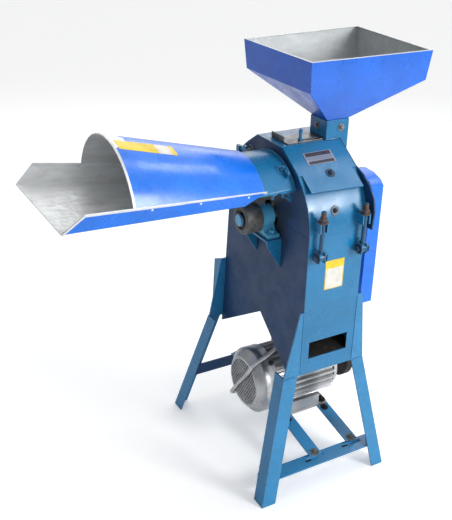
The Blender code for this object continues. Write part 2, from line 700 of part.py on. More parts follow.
def hopper():
    """Upright band with a rim turned inwards, four sloping sides and a neck inside the chute."""
    seat = DUCT + GAP
    band = HOPPER_RIM - HOPPER_BAND
    bottom = CHUTE_TOP - NECK
    outside = [(HOPPER_RIM, HOPPER_X, HOPPER_Y, 0.0), (band, HOPPER_X, HOPPER_Y, HOPPER_INSET),
               (CHUTE_TOP + GAP, CHUTE_X, CHUTE_Y, seat), (bottom, CHUTE_X, CHUTE_Y, seat)]
    inside = [(bottom, CHUTE_X, CHUTE_Y, seat + THIN), (CHUTE_TOP + GAP, CHUTE_X, CHUTE_Y, seat + THIN),
              (band, HOPPER_X, HOPPER_Y, HOPPER_INSET + THIN),
              (HOPPER_RIM - THIN, HOPPER_X, HOPPER_Y, THIN),
              (HOPPER_RIM - THIN, HOPPER_X, HOPPER_Y, RIM_FLANGE),
              (HOPPER_RIM, HOPPER_X, HOPPER_Y, RIM_FLANGE)]
    levels = outside + inside
    rings = []
    for z, xs, ys, inset in levels:
        corners = rect(xs[0] + inset, ys[0] + inset, xs[1] - inset, ys[1] - inset)
        rise = [RIM_RISE if i == 2 and z > HOPPER_RIM - 2 * THIN else 0.0 for i in range(4)]
        rings.append([(a, b, z + lift) for (a, b), lift in zip(corners, rise)])
    return tube("hopper", rings)


def latch_bolt(name, x):
    """Swing bolt: eye round the pivot pin, rod between the lug plates, washer and nut on top."""
    half = EAR_INNER - GAP
    body = rod(name, x - half, x + half, LATCH_EYE_R, (LATCH_Y, LATCH_PIVOT_Z), 20)
    circle = arc((x, LATCH_Y), LATCH_ROD_R, 0.0, 337.5, 15)
    weld(body, prism("rod", circle, "Z", LATCH_PIVOT_Z + 0.007, LATCH_TOP))
    washer_r, washer_tall = LATCH_WASHER
    nut_r, nut_tall = LATCH_NUT
    seat = LUG_Z[1] + GAP
    top = seat + washer_tall
    weld(body, prism("washer", arc((x, LATCH_Y), washer_r, 0.0, 340.0, 17), "Z", seat, top))
    weld(body, prism("nut", arc((x, LATCH_Y), nut_r, 0.0, 300.0, 5), "Z", top - 0.0005, top + nut_tall))
    cut(body, rod("bore", x - 0.02, x + 0.02, EAR_PIN_R + RUN, (LATCH_Y, LATCH_PIVOT_Z), 16))
    return smooth(body)


# ================================================================ bearings
def bearing_housing(name, xs):
    foot = SHELF_TOP + GAP
    crown = arc((0.0, SHAFT_Z), BEARING_R, -35.0, 215.0, 20)
    wide, edge = BEARING_FOOT_Y, foot + BEARING_FOOT
    waist, shoulder = BEARING_R + 0.004, edge + 0.003
    outline = [(-wide, foot), (wide, foot), (wide, edge), (waist, shoulder)]
    outline += crown + [(-waist, shoulder), (-wide, edge)]
    housing = prism(name, outline, "X", *xs)
    bore = rod("bore", xs[0] - 0.01, xs[1] + 0.01, SHAFT_R + RUN, (0.0, SHAFT_Z), 24)
    return smooth(cut(housing, bore))


def bearing_bracket(name, side, reach):
    """Shelf on the side plate with a gusset below each end."""
    wall = side * (HALF + GAP)
    xs = sorted((wall, side * reach))
    shelf = box(name, (xs[0], -SHELF_Y, SHELF_TOP - SHELF_THICK), (xs[1], SHELF_Y, SHELF_TOP))
    toe = wall + side * GUSSET_REACH
    outline = [(wall, SHELF_TOP - SHELF_THICK / 2), (toe, SHELF_TOP - SHELF_THICK / 2),
               (toe, SHELF_TOP - GUSSET_EDGE), (wall, GUSSET_LOW)]
    for y in (-SHELF_Y, SHELF_Y - GUSSET_THICK):
        weld(shelf, prism("gusset", outline, "Y", y, y + GUSSET_THICK))
    return shelf


# ================================================================ rotor
def main_shaft():
    x0, x1 = SHAFT_X
    b0, b1 = SHAFT_BODY_X
    profile = [(x0, SHAFT_R), (b0, SHAFT_R), (b0, SHAFT_BODY_R), (b1, SHAFT_BODY_R), (b1, SHAFT_R),
               (x1, SHAFT_R)]
    return turned("main_shaft", profile, (0.0, SHAFT_Z), 24, bored=False)


def around_shaft(obj, degrees):
    """Turn a piece that is modelled upright about the rotor axis."""
    centre = Vector((0.0, 0.0, SHAFT_Z))
    turn = Matrix.Rotation(math.radians(degrees), 4, "X")
    obj.data.transform(Matrix.Translation(centre) @ turn @ Matrix.Translation(-centre))
    return obj


def knife_disc():
    x = KNIFE_DISC_X
    bore = SHAFT_BODY_R + RUN
    return washer("knife_disc", x, x + KNIFE_DISC_THICK, bore, KNIFE_DISC_R, (0.0, SHAFT_Z), 36)


def knife(name, degrees):
    x1 = KNIFE_DISC_X - GAP
    low, high = (SHAFT_Z + r for r in KNIFE_REACH)
    sections = []
    for z in (low, high):
        sections.append([(x1, KNIFE_WIDE[0], z), (x1 - KNIFE_THICK, KNIFE_WIDE[0], z),
                         (x1 - KNIFE_THICK, KNIFE_WIDE[1] - KNIFE_BEVEL, z), (x1, KNIFE_WIDE[1], z)])
    return around_shaft(loft(name, sections), degrees)


def hammer_disc(name, x):
    disc = washer(name, x, x + DISC_THICK, SHAFT_BODY_R + RUN, HAMMER_DISC_R, (0.0, SHAFT_Z), 35)
    for degrees in PIN_DEGS:
        y, z = arc((0.0, SHAFT_Z), PIN_ORBIT, degrees, degrees, 1)[0]
        cut(disc, rod("hole", x - 0.01, x + 0.02, PIN_R + RUN, (y, z), 16))
    return disc


def hammer_pin(name, degrees):
    y, z = arc((0.0, SHAFT_Z), PIN_ORBIT, degrees, degrees, 1)[0]
    x0 = HAMMER_DISC_X[0] - PIN_END
    x1 = HAMMER_DISC_X[1] + DISC_THICK + PIN_END
    return rod(name, x0, x1, PIN_R, (y, z), 16)


def hammer(name, x):
    """Flat swing hammer hanging from its pin, modelled about the pin's axis."""
    half = HAMMER_WIDE / 2
    outline = rect(-half, -HAMMER_REACH[0], half, HAMMER_REACH[1])
    plate = prism(name, outline, "X", x, x + HAMMER_THICK)
    return cut(plate, rod("hole", x - 0.01, x + 0.02, PIN_R + RUN, (0.0, 0.0), 16))


def pulley(name, radius, bore, centre):
    """Single V-groove pulley, groove a little wider than the belt."""
    half = PULLEY_WIDE / 2
    top = BELT_WIDE / 2 + 0.0006
    bottom = BELT_WIDE / 2 - BELT_DEEP * BELT_FLANK + GAP
    floor = radius - BELT_DEEP - 0.0015
    profile = [(-half, bore), (half, bore), (half, radius), (top, radius), (bottom, floor),
               (-bottom, floor), (-top, radius), (-half, radius)]
    return turned(name, [(BELT_X + x, r) for x, r in profile], centre, 40)


def shaft_end_ring():
    """Cast ring on the free end of the shaft, with a recessed face."""
    x0, x1 = RING_X
    bore = SHAFT_R + RUN
    profile = [(x0 + 0.006, bore), (x1, bore), (x1, RING_R - 0.004), (x1 - 0.004, RING_R),
               (x0 + 0.002, RING_R), (x0, RING_R - 0.002), (x0, bore + 0.009), (x0 + 0.006, bore + 0.008)]
    return turned("shaft_end_ring", profile, (0.0, SHAFT_Z), 32)


# ================================================================ stand
def corner(heel, width_x, width_y, thick=IRON_THICK):
    """L section of angle iron with its heel at a point, legs along signed X and Y widths."""
    x, y, z = heel
    tx = math.copysign(thick, width_x)
    ty = math.copysign(thick, width_y)
    return [(x, y, z), (x + width_x, y, z), (x + width_x, y + ty, z), (x + tx, y + ty, z),
            (x + tx, y + width_y, z), (x, y + width_y, z)]


def front_leg(name, side, knee, foot, tip, width):
    """Angle iron below the bend.  Above it the web is cut away and the flange tapers to a point."""
    panel_edge = HALF + GAP
    kx, ky, kz = knee
    upper = [corner((side * tip[0], ky, tip[1]), -side * (tip[0] - panel_edge), STUB),
             corner((side * kx, ky, kz), -side * (kx - panel_edge), STUB)]
    fx, fy, fz = foot
    lower = [corner((side * kx, ky, kz + JOINT_LAP / 2), -side * width, width),
             corner((side * fx, fy, fz), -side * width, width)]
    return weld(loft(name, upper), loft("lower", lower))


def back_leg(name, side):
    """As a front leg, but above the bend a tapering web points backwards."""
    panel_edge = HALF + GAP
    tip_x, tip_z = BACK_TIP
    kx, ky, kz = BACK_KNEE
    fx, fy, fz = BACK_FOOT
    mid_x = tip_x + (kx - tip_x) * (tip_z - WEB_END) / (tip_z - kz)
    sections = []
    for x, z, web, drop in ((tip_x, tip_z, BACK_WEB, BACK_WEB_DROP), (mid_x, WEB_END, STUB, 0.0),
                            (kx, kz - JOINT_LAP, STUB, 0.0)):
        section = corner((side * x, back_y(z) - IRON_THICK, z), -side * (x - panel_edge), web)
        sections.append([(px, py, pz - (drop if i > 3 else 0.0)) for i, (px, py, pz) in enumerate(section)])
    upper = loft(name, sections)
    top = corner((side * kx, ky + 0.001, kz + JOINT_LAP), -side * IRON, -IRON)
    return weld(upper, loft("lower", [top, corner((side * fx, fy, fz), -side * IRON, -IRON)]))


def leg_inner_x(knee, foot, z):
    """Inner face of the side flange of a leg at a height."""
    t = (knee[2] - z) / (knee[2] - foot[2])
    return knee[0] + (foot[0] - knee[0]) * t - IRON_THICK


def leg_flange_y(knee, foot, z, inward):
    """Inner face of the cross flange of a leg at a height."""
    t = (knee[2] - z) / (knee[2] - foot[2])
    return knee[1] + (foot[1] - knee[1]) * t + inward * IRON_THICK


def front_crossbar():
    """Angle iron with its wide flange on top, slotted for the rail bolts."""
    top = FRONT_BAR_TOP
    left = -leg_inner_x(FRONT_KNEE, FRONT_FOOT, top) + 2 * GAP
    right = leg_inner_x(RIGHT_KNEE, RIGHT_FOOT, top) - 2 * GAP
    y0 = leg_flange_y(FRONT_KNEE, FRONT_FOOT, top, 1) + GAP
    y1 = y0 + BAR
    outline = [(y0, top - IRON_THICK), (y0, top), (y1, top), (y1, top - BAR),
               (y1 - IRON_THICK, top - BAR), (y1 - IRON_THICK, top - IRON_THICK)]
    bar = prism("front_crossbar", outline, "X", left, right)
    for x in MOTOR_RAIL_X:
        dx, dy = SLOT_HALF
        y = y0 + SLOT_INSET
        cut(bar, box("slot", (x - dx, y - dy, top - BAR), (x + dx, y + dy, top + BAR)))
    return bar


def rear_crossbar():
    """Angle iron that stands on its foot flange, with the rails on its upper edge."""
    top = REAR_BAR_TOP
    half = leg_inner_x(BACK_KNEE, BACK_FOOT, top) - 2 * GAP
    y0 = REAR_BAR_Y
    y1 = leg_flange_y(BACK_KNEE, BACK_FOOT, top - REAR_BAR, -1) - GAP
    y1 = min(y1, leg_flange_y(BACK_KNEE, BACK_FOOT, top - REAR_BAR + IRON_THICK, -1) - GAP)
    low = top - REAR_BAR
    outline = [(y0, low), (y0, top), (y0 + IRON_THICK, top), (y0 + IRON_THICK, low + IRON_THICK),
               (y1, low + IRON_THICK), (y1, low)]
    return prism("rear_crossbar", outline, "X", -half, half)


def motor_rail(name, x, front):
    """Flat bar from the front to the rear crossbar, along the motor's tilted frame."""
    top = -MOTOR_FOOT - GAP
    back = (REAR_BAR_Y + IRON_THICK - MOTOR_YZ[0]) / math.cos(MOTOR_TILT) + top * math.tan(MOTOR_TILT)
    half = RAIL_WIDE / 2
    return box(name, (x - half, front, top - RAIL_THICK), (x + half, back, top))


# ================================================================ motor, in its own frame
def motor_housing():
    """Finned stator frame with a long cast foot on each side."""
    outline = []
    for i in range(FIN_COUNT):
        mid = 360.0 * (i + 0.5) / FIN_COUNT
        root = 360.0 / FIN_COUNT * 0.30
        tip = 360.0 / FIN_COUNT * 0.16
        for degrees, radius in ((mid - root, STATOR_R), (mid - tip, FIN_TIP_R), (mid + tip, FIN_TIP_R),
                                (mid + root, STATOR_R)):
            outline.append(arc((0.0, 0.0), radius, degrees, degrees, 1)[0])
    body = prism("motor_housing", outline, "X", *STATOR_X)
    for side in (-1, 1):
        flange = [(side * 0.060, -0.090), (side * 0.100, -0.090), (side * 0.100, -MOTOR_FOOT),
                  (side * 0.060, -MOTOR_FOOT)]
        web = [(side * 0.052, -0.060), (side * 0.088, -0.060), (side * 0.097, -0.092),
               (side * 0.060, -0.092), (side * 0.040, -0.078)]
        weld(body, prism("foot", flange, "X", *FOOT_X), prism("web", web, "X", *FOOT_WEB_X))
    bore = rod("bore", STATOR_X[0] - 0.01, STATOR_X[1] + 0.01, MOTOR_SHAFT_R + RUN, (0.0, 0.0), 24)
    return cut(body, bore)


def motor_end_bell():
    x0, x1 = STATOR_X[1] + 0.005, BELL_END_X
    bore = MOTOR_SHAFT_R + RUN
    profile = [(x0, bore), (x1, bore), (x1, 0.038), (x1 - 0.010, 0.042), (x1 - 0.016, 0.064),
               (x0 + 0.014, 0.086), (x0, 0.090)]
    return turned("motor_end_bell", profile, (0.0, 0.0), 32)


def motor_fan_cover():
    """Pressed cup over the fan, with a perforated face."""
    x0 = FAN_END_X
    x1 = x0 + FAN_COVER_LONG
    r = FAN_COVER_R
    t = THIN
    outer = [(x1, r), (x0 + 0.010, r), (x0 + 0.003, r - 0.004), (x0, r - 0.012), (x0, FAN_HOLE)]
    inner = [(x0 + t, FAN_HOLE), (x0 + t, r - 0.012 - t), (x0 + 0.010, r - t), (x1, r - t)]
    cup = turned("motor_fan_cover", outer + inner, (0.0, 0.0), 36)
    return cut(cup, perforation(x0 - 0.01, x0 + 0.01))


def perforation(x0, x1):
    """Hexagonal grid of air holes as one cutter."""
    verts = []
    faces = []
    for row in range(-AIR_ROWS, AIR_ROWS + 1):
        for column in range(-AIR_ROWS, AIR_ROWS + 1):
            y = AIR_PITCH * (column + row / 2)
            z = AIR_PITCH * row * math.sqrt(0.75)
            distance = math.hypot(y, z)
            if distance < AIR_PITCH / 2 or distance > AIR_FIELD:
                continue
            base = len(verts)
            ring = arc((y, z), AIR_HOLE, 30.0, 330.0, 5)
            verts += [(x, a, b) for x in (x0, x1) for a, b in ring]
            faces += [[base + k for k in range(6)], [base + 6 + k for k in range(6)]]
            faces += [[base + k, base + (k + 1) % 6, base + 6 + (k + 1) % 6, base + 6 + k]
                      for k in range(6)]
    return from_faces("perforation", verts, faces)


def motor_fan():
    x0 = FAN_END_X + FAN_X
    hub_r, hub_long = FAN_HUB
    tip, wide = FAN_BLADE
    hub = washer("motor_fan", x0, x0 + hub_long, MOTOR_SHAFT_R + RUN, hub_r, (0.0, 0.0), 24)
    for i in range(6):
        blade = box("blade", (x0 + 0.004, -THIN, hub_r - 0.004), (x0 + 0.004 + wide, THIN, tip))
        blade.data.transform(Matrix.Rotation(math.radians(60.0 * i), 4, "X"))
        weld(hub, blade)
    return hub


def terminal_box():
    """Junction box on the crown of the stator, with its cable gland towards the fan."""
    seat = FIN_TIP_R + GAP
    body = box("terminal_box", (BOX_X[0], -BOX_HALF, seat), (BOX_X[1], BOX_HALF, seat + BOX_TALL))
    gland_z = seat + BOX_TALL / 2
    return weld(body, rod("gland", BOX_X[0] - GLAND_LONG, BOX_X[0] + 0.005, GLAND_R, (0.0, gland_z), 12))


def motor_lead():
    """Supply lead held along the motor: out of the gland, along the fan cover and across its face."""
    frame = motor_frame()
    face = FAN_END_X - LEAD_R - 2 * GAP
    start = BOX_X[0] - GLAND_LONG - 2 * GAP
    gland_z = FIN_TIP_R + GAP + BOX_TALL / 2
    route = [(start, 0.0, gland_z), (start - 0.004, 0.0, gland_z), (start - 0.008, 0.0, gland_z),
             (-0.040, -0.013, 0.1125),
             (-0.0635, -0.0215, 0.1070), (-0.0886, -0.0290, 0.1051), (-0.1080, -0.0345, 0.1034),
             (-0.1215, -0.0360, 0.0987), (-0.1277, -0.0345, 0.0875), (face, -0.0265, 0.0655),
             (face, -0.0113, 0.0347), (face, 0.0147, -0.0133), (face, 0.0361, -0.0583),
             (-0.1278, 0.0455, -0.0775), (-0.1227, 0.0518, -0.0910), (-0.1130, 0.0545, -0.0957),
             (-0.0950, 0.0548, -0.0957), (-0.0780, 0.0548, -0.0955)]
    curve = bpy.data.curves.new("motor_lead", "CURVE")
    curve.dimensions = "3D"
    curve.bevel_depth = LEAD_R
    curve.bevel_resolution = 2
    curve.use_fill_caps = True
    points = smooth_route([frame @ Vector(p) for p in route], 3)
    spline = curve.splines.new("POLY")
    spline.points.add(len(points) - 1)
    for slot, p in zip(spline.points, points):
        slot.co = (*p, 1.0)
    return new_object("motor_lead", curve)


def smooth_route(points, steps):
    """Catmull-Rom curve through the route's points."""
    ends = [points[0] * 2 - points[1]] + list(points) + [points[-1] * 2 - points[-2]]
    curve = []
    for i in range(1, len(ends) - 2):
        p0, p1, p2, p3 = ends[i - 1:i + 3]
        for k in range(steps):
            t = k / steps
            curve.append(0.5 * (2 * p1 + (p2 - p0) * t + (2 * p0 - 5 * p1 + 4 * p2 - p3) * t ** 2
                                + (3 * p1 - p0 - 3 * p2 + p3) * t ** 3))
    return curve + [points[-1]]


def drive_belt():
    """V belt round both pulleys: two arcs joined by their common tangents."""
    top = Vector((0.0, SHAFT_Z))
    low = Vector(MOTOR_YZ)
    span = low - top
    base = math.degrees(math.atan2(span.y, span.x))
    lean = math.degrees(math.asin((MOTOR_PULLEY_R - DRIVEN_R) / span.length))
    rings = []
    for deep, half in ((0.0, BELT_WIDE / 2), (BELT_DEEP, BELT_WIDE / 2 - BELT_DEEP * BELT_FLANK)):
        first = arc(tuple(top), DRIVEN_R - deep, base + 90.0 + lean, base + 270.0 - lean, 18)
        second = arc(tuple(low), MOTOR_PULLEY_R - deep, base - 90.0 - lean, base + 90.0 + lean, 22)
        for x in ((BELT_X - half, BELT_X + half) if deep == 0.0 else (BELT_X + half, BELT_X - half)):
            rings.append([(x, y, z) for y, z in first + second])
    return smooth(tube("drive_belt", rings))


def belt_guard():
    """Sheet box over the driven pulley and the upper belt, open below for the motor pulley."""
    shape = [(-0.062, -0.325), (-0.0605, 0.048), (-0.046, 0.062), (-0.012, 0.073), (0.026, 0.075),
             (0.048, 0.068), (0.060, 0.042), (0.117, -0.325)]
    outline = [(y, SHAFT_Z + z) for y, z in shape]
    guard = prism("belt_guard", outline, "X", *GUARD_X)
    inner = offset(outline, -GUARD_SHEET)
    inner[0] = (inner[0][0], outline[0][1] - 0.02)
    inner[-1] = (inner[-1][0], outline[-1][1] - 0.02)
    cut(guard, prism("hollow", inner, "X", GUARD_X[0] + GUARD_SHEET, GUARD_X[1] - GUARD_SHEET))
    hole = rod("hole", GUARD_X[0] - 0.01, GUARD_X[0] + 0.01, SHAFT_R + GUARD_HOLE, (0.0, SHAFT_Z), 24)
    return cut(guard, hole)


# ================================================================ assembly
def finish(obj, mat, parent):
    obj.data.materials.clear()
    obj.data.materials.append(mat)
    obj.parent = parent


def empty(name, location, parent=None):
    marker = bpy.data.objects.new(name, None)
    bpy.context.scene.collection.objects.link(marker)
    marker.location = location
    marker.parent = parent
    return marker


def on_axis(objects, axis_point):
    """Move pieces so that their origins lie on the axis they turn about."""
    for obj in objects:
        obj.data.transform(Matrix.Translation(-Vector(axis_point)))
        obj.location = axis_point


def build():
    for obj in list(bpy.data.objects):
        bpy.data.objects.remove(obj, do_unlink=True)

    teal = material("teal_paint", (0.07, 0.26, 0.40), 0.45)
    azure = material("azure_paint", (0.03, 0.20, 0.75), 0.40)
    steel = material("bare_steel", (0.55, 0.55, 0.54), 0.40, 1.0)
    iron = material("rusty_iron", (0.16, 0.11, 0.08), 0.80, 0.3)
    cast = material("cast_aluminium", (0.60, 0.60, 0.58), 0.45, 0.9)
    rubber = material("belt_rubber", (0.02, 0.02, 0.02), 0.70)
    cable = material("cable_pvc", (0.70, 0.71, 0.70), 0.50)
    plastic = material("grey_plastic", (0.25, 0.25, 0.26), 0.50)

    mill = empty("mill", ORIGIN)
    rotor = empty("rotor_axis", (0.0, 0.0, SHAFT_Z), mill)
    hood = empty("hood_axis", (0.0, *hinge_centre()), mill)
    motor = empty("motor_axis", (0.0, *MOTOR_YZ), mill)
    motor.rotation_euler.x = MOTOR_TILT

    fixed = [(side_plate("left_side_plate", -HALF), teal),
             (side_plate("right_side_plate", HALF - PLATE), teal),
             (front_panel(), teal), (rear_panel(), teal), (discharge_slide(), steel), (screen(), steel),
             (front_leg("front_left_leg", -1, FRONT_KNEE, FRONT_FOOT, FRONT_TIP, IRON), teal),
             (front_leg("front_right_leg", 1, RIGHT_KNEE, RIGHT_FOOT, RIGHT_TIP, RIGHT_IRON), teal),
             (back_leg("back_left_leg", -1), teal), (back_leg("back_right_leg", 1), teal),
             (front_crossbar(), teal), (rear_crossbar(), teal),
             (bearing_bracket("left_bearing_bracket", -1, SHELF_REACH[0]), teal),
             (bearing_bracket("right_bearing_bracket", 1, SHELF_REACH[1]), teal),
             (bearing_housing("left_bearing", BEARING_LEFT_X), teal),
             (bearing_housing("right_bearing", BEARING_RIGHT_X), teal),
             (belt_guard(), azure), (drive_belt(), rubber), (motor_lead(), cable)]
    for obj, mat in fixed:
        finish(obj, mat, mill)

    y, z = hinge_centre()
    reach = HINGE_LENGTH / 2 + HINGE_SIDE + 0.004
    finish(rod("hinge_pin", -reach, reach, HINGE_PIN_R, (y, z), 16), steel, mill)

    hooded = [(hood_shell(), teal), (hood_left_plate(), teal), (hood_right_plate(), teal),
              (hood_slope_cover(), teal), (inlet_duct(), teal), (trough(), azure), (trough_cover(), azure),
              (fixed_knife(), steel), (chute(), teal), (hopper(), azure), (gate_clamp(), steel),
              (feed_gate(), teal)]
    for obj, mat in hooded:
        obj.data.transform(Matrix.Translation(-Vector((0.0, y, z))))
        finish(obj, mat, hood)

    for name, x in zip(("latch_bolt_left", "latch_bolt_right"), LATCH_X):
        bolt = latch_bolt(name, x)
        on_axis([bolt], (x, LATCH_Y, LATCH_PIVOT_Z))
        finish(bolt, steel, mill)

    turning = [(main_shaft(), steel), (knife_disc(), steel), (knife("knife_a", 0.0), steel),
               (knife("knife_b", 180.0), steel), (shaft_end_ring(), iron),
               (pulley("driven_pulley", DRIVEN_R, SHAFT_R + RUN, (0.0, SHAFT_Z)), iron)]
    for name, x in zip(("hammer_disc_left", "hammer_disc_right"), HAMMER_DISC_X):
        turning.append((hammer_disc(name, x), steel))
    for letter, degrees in zip("abc", PIN_DEGS):
        turning.append((hammer_pin(f"hammer_pin_{letter}", degrees), steel))
    for obj, mat in turning:
        obj.data.transform(Matrix.Translation((0.0, 0.0, -SHAFT_Z)))
        finish(obj, mat, rotor)
    for letter, degrees in zip("abc", PIN_DEGS):
        py, pz = arc((0.0, 0.0), PIN_ORBIT, degrees, degrees, 1)[0]
        row = empty(f"hammer_row_{letter}", (0.0, py, pz), rotor)
        for side, x in zip(("left", "right"), HAMMER_X):
            finish(hammer(f"hammer_{letter}_{side}", x), steel, row)

    motor_pieces = [(motor_housing(), cast), (motor_end_bell(), cast), (motor_fan_cover(), steel),
                    (motor_fan(), plastic), (terminal_box(), cast),
                    (rod("motor_shaft", FAN_END_X + FAN_X - 0.002, MOTOR_SHAFT_END, MOTOR_SHAFT_R), steel),
                    (pulley("motor_pulley", MOTOR_PULLEY_R, MOTOR_SHAFT_R + RUN, (0.0, 0.0)), iron)]
    for name, x, front in zip(("motor_rail_left", "motor_rail_right"), MOTOR_RAIL_X, RAIL_FRONT):
        motor_pieces.append((motor_rail(name, x, front), teal))
    for obj, mat in motor_pieces:
        finish(obj, mat, motor)


build()
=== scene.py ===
"""Hammer mill with a feed trough, a grain hopper and a belt-driven motor: finishes, fasteners, hems,
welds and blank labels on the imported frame, with a studio floor, soft lights and the camera."""
import math

import bmesh
import bpy
from mathutils import Matrix, Vector
from mathutils.bvhtree import BVHTree


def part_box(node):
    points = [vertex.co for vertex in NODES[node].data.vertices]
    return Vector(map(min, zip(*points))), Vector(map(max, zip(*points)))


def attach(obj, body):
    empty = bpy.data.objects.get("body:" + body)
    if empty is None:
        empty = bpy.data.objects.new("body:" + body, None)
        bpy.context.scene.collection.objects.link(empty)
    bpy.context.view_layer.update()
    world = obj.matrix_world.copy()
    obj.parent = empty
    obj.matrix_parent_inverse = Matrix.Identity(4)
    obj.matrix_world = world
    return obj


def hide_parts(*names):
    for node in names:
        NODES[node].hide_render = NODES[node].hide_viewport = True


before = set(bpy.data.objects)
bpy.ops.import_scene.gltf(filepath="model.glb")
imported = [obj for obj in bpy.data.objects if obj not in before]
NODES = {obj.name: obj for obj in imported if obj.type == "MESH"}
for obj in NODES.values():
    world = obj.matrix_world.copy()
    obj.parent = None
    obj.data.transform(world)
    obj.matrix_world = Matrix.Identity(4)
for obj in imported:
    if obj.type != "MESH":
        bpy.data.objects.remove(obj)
SCENE = bpy.context.scene
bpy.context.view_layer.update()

X, Y, Z = Vector((1, 0, 0)), Vector((0, 1, 0)), Vector((0, 0, 1))

# ==== where things are, from the frame
def centre_of(name):
    """The middle of a CAD node's box."""
    low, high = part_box(name)
    return (low + high) / 2


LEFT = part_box("left_side_plate")[0].x
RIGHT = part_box("right_side_plate")[1].x
MIDDLE = (LEFT + RIGHT) / 2
SHAFT = centre_of("main_shaft")
MOTOR_SHAFT = centre_of("motor_shaft")
MOTOR_AXIS = Vector((0.0, MOTOR_SHAFT.y, MOTOR_SHAFT.z))
FAN_LOW, FAN_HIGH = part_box("motor_fan_cover")
FAN_RADIUS = (FAN_HIGH.z - FAN_LOW.z) / 2
MOTOR_SLOPE = 0.18      # the motor stands on rails that climb this much


def at(x, y, z):
    """A point given from the middle of the casing, the rotor axis and the floor."""
    return Vector((MIDDLE + x, SHAFT.y + y, z))


# ==== colours, 0 to 255
TEAL = (14, 118, 170)
# the teal darkened as painted shade, for the plates that face left and the rear crossbar under the machine
TEAL_SHADED = (5, 60, 106)
LEG_BLUE = (34, 130, 184)
BEARING_BLUE = (90, 184, 226)
AZURE = (8, 118, 238)
HOPPER_BLUE = (18, 104, 218)
GALVANISED = (230, 232, 233)
ZINC_DULL = (184, 188, 190)
STEEL = (150, 150, 148)
OIL_DARK = (40, 38, 38)
RUST = (98, 74, 58)
ALUMINIUM = (204, 205, 206)
CAST_GREY = (120, 120, 116)
RUBBER = (28, 28, 30)
SHEATH = (232, 233, 230)
YELLOW = (238, 206, 40)
LABEL_WHITE = (226, 224, 214)
PRINT_DARK = (58, 54, 62)
PRINT_LILAC = (126, 136, 158)
DUST = (120, 112, 98)
PRIMER = (140, 176, 194)
# grime and painted shade: a darker teal for bolts and nuts that sit in shadow
TEAL_GRIMY_SHADED = (24, 62, 92)
ROD_TEAL = (16, 84, 124)
CRYSTAL = (236, 238, 240)
ZINC_STAIN = (150, 144, 132)
RUST_DEEP = (64, 44, 34)
RUST_PALE = (132, 92, 62)
GRIME_AND_SHADE = (30, 28, 27)
OIL_AND_SHADE = (34, 32, 30)
DUST_AND_SHADE = (52, 50, 48)
BARE_EDGE = (232, 233, 234)
SCUFF = (206, 204, 198)
MOULDED = (40, 41, 43)
SPUN = (206, 207, 208)
PLATE_GREY = (158, 162, 172)
FLOOR_TONE = (249, 249, 248)


def linear(colour):
    """An sRGB colour as the shader's linear one."""
    parts = [c / 255 for c in colour]
    return (*[c / 12.92 if c <= 0.04045 else ((c + 0.055) / 1.055) ** 2.4 for c in parts], 1.0)


def tinted(colour, share, lift=0):
    """A darker or lighter cast of an sRGB colour, as the shader's linear one."""
    return linear([min(255, c * share + lift) for c in colour])


# ==== material nodes
def node(tree, kind, inputs=None, **settings):
    """A shader node with its settings, and its inputs set or linked."""
    n = tree.nodes.new("ShaderNode" + kind)
    for key, value in settings.items():
        setattr(n, key, value)
    for key, value in (inputs or {}).items():
        if isinstance(value, bpy.types.NodeSocket):
            tree.links.new(value, n.inputs[key])
        else:
            n.inputs[key].default_value = value
    return n


def mix(tree, factor, a, b):
    return node(tree, "Mix", {0: factor, 6: a, 7: b}, data_type="RGBA").outputs[2]


def maths(tree, operation, a, b):
    return node(tree, "Math", {0: a, 1: b}, operation=operation, use_clamp=True).outputs[0]


def times(tree, a, b):
    return maths(tree, "MULTIPLY", a, b)


def vectors(tree, operation, a, b, result=0):
    return node(tree, "VectorMath", {0: a, 1: b}, operation=operation).outputs[result]


def between(tree, value, low, high, out_low=0.0, out_high=1.0):
    """A smooth step from out_low to out_high as the value goes from low to high."""
    inputs = {"Value": value, "From Min": low, "From Max": high, "To Min": out_low, "To Max": out_high}
    return node(tree, "MapRange", inputs, interpolation_type="SMOOTHSTEP").outputs[0]


def noise(tree, place, scale, detail=3.0, rough=0.55, stretch=(1, 1, 1), turn=(0, 0, 0)):
    """Noise of so many lumps to the metre."""
    if stretch != (1, 1, 1) or turn != (0, 0, 0):
        place = node(tree, "Mapping", {"Vector": place, "Scale": stretch, "Rotation": turn}).outputs[0]
    inputs = {"Vector": place, "Scale": scale, "Detail": detail, "Roughness": rough}
    return node(tree, "TexNoise", inputs).outputs["Fac"]


def material(name):
    """A new material, its tree, its Principled node and its place in metres."""
    mat = bpy.data.materials.new(name)
    mat.use_nodes = True
    tree = mat.node_tree
    tree.nodes.clear()
    shader = node(tree, "BsdfPrincipled")
    output = node(tree, "OutputMaterial")
    tree.links.new(shader.outputs[0], output.inputs["Surface"])
    place = node(tree, "TexCoord").outputs["Object"]
    return mat, tree, shader, place


def apply_nodes(tree, shader, colour, roughness, height, strength=0.3, depth=0.0005, metallic=0.0):
    tree.links.new(colour, shader.inputs["Base Color"])
    tree.links.new(roughness, shader.inputs["Roughness"])
    if isinstance(metallic, bpy.types.NodeSocket):
        tree.links.new(metallic, shader.inputs["Metallic"])
    else:
        shader.inputs["Metallic"].default_value = metallic
    bump = node(tree, "Bump", {"Height": height, "Strength": strength, "Distance": depth})
    tree.links.new(bump.outputs[0], shader.inputs["Normal"])


def edges(tree, radius):
    """1 along the edges of a piece and 0 on its flats."""
    rounded = node(tree, "Bevel", {"Radius": radius}, samples=6).outputs[0]
    plain = node(tree, "NewGeometry").outputs["Normal"]
    same = vectors(tree, "DOT_PRODUCT", rounded, plain, "Value")
    return between(tree, same, 0.985, 0.80)


def corners(tree, reach):
    """1 in corners and hollows that ambient occlusion finds, and 0 in the open: the mask of painted shade in
    corners, with grime.
    """
    open_share = node(tree, "AmbientOcclusion", {"Distance": reach}, samples=6).outputs["AO"]
    return between(tree, open_share, 0.75, 0.25)


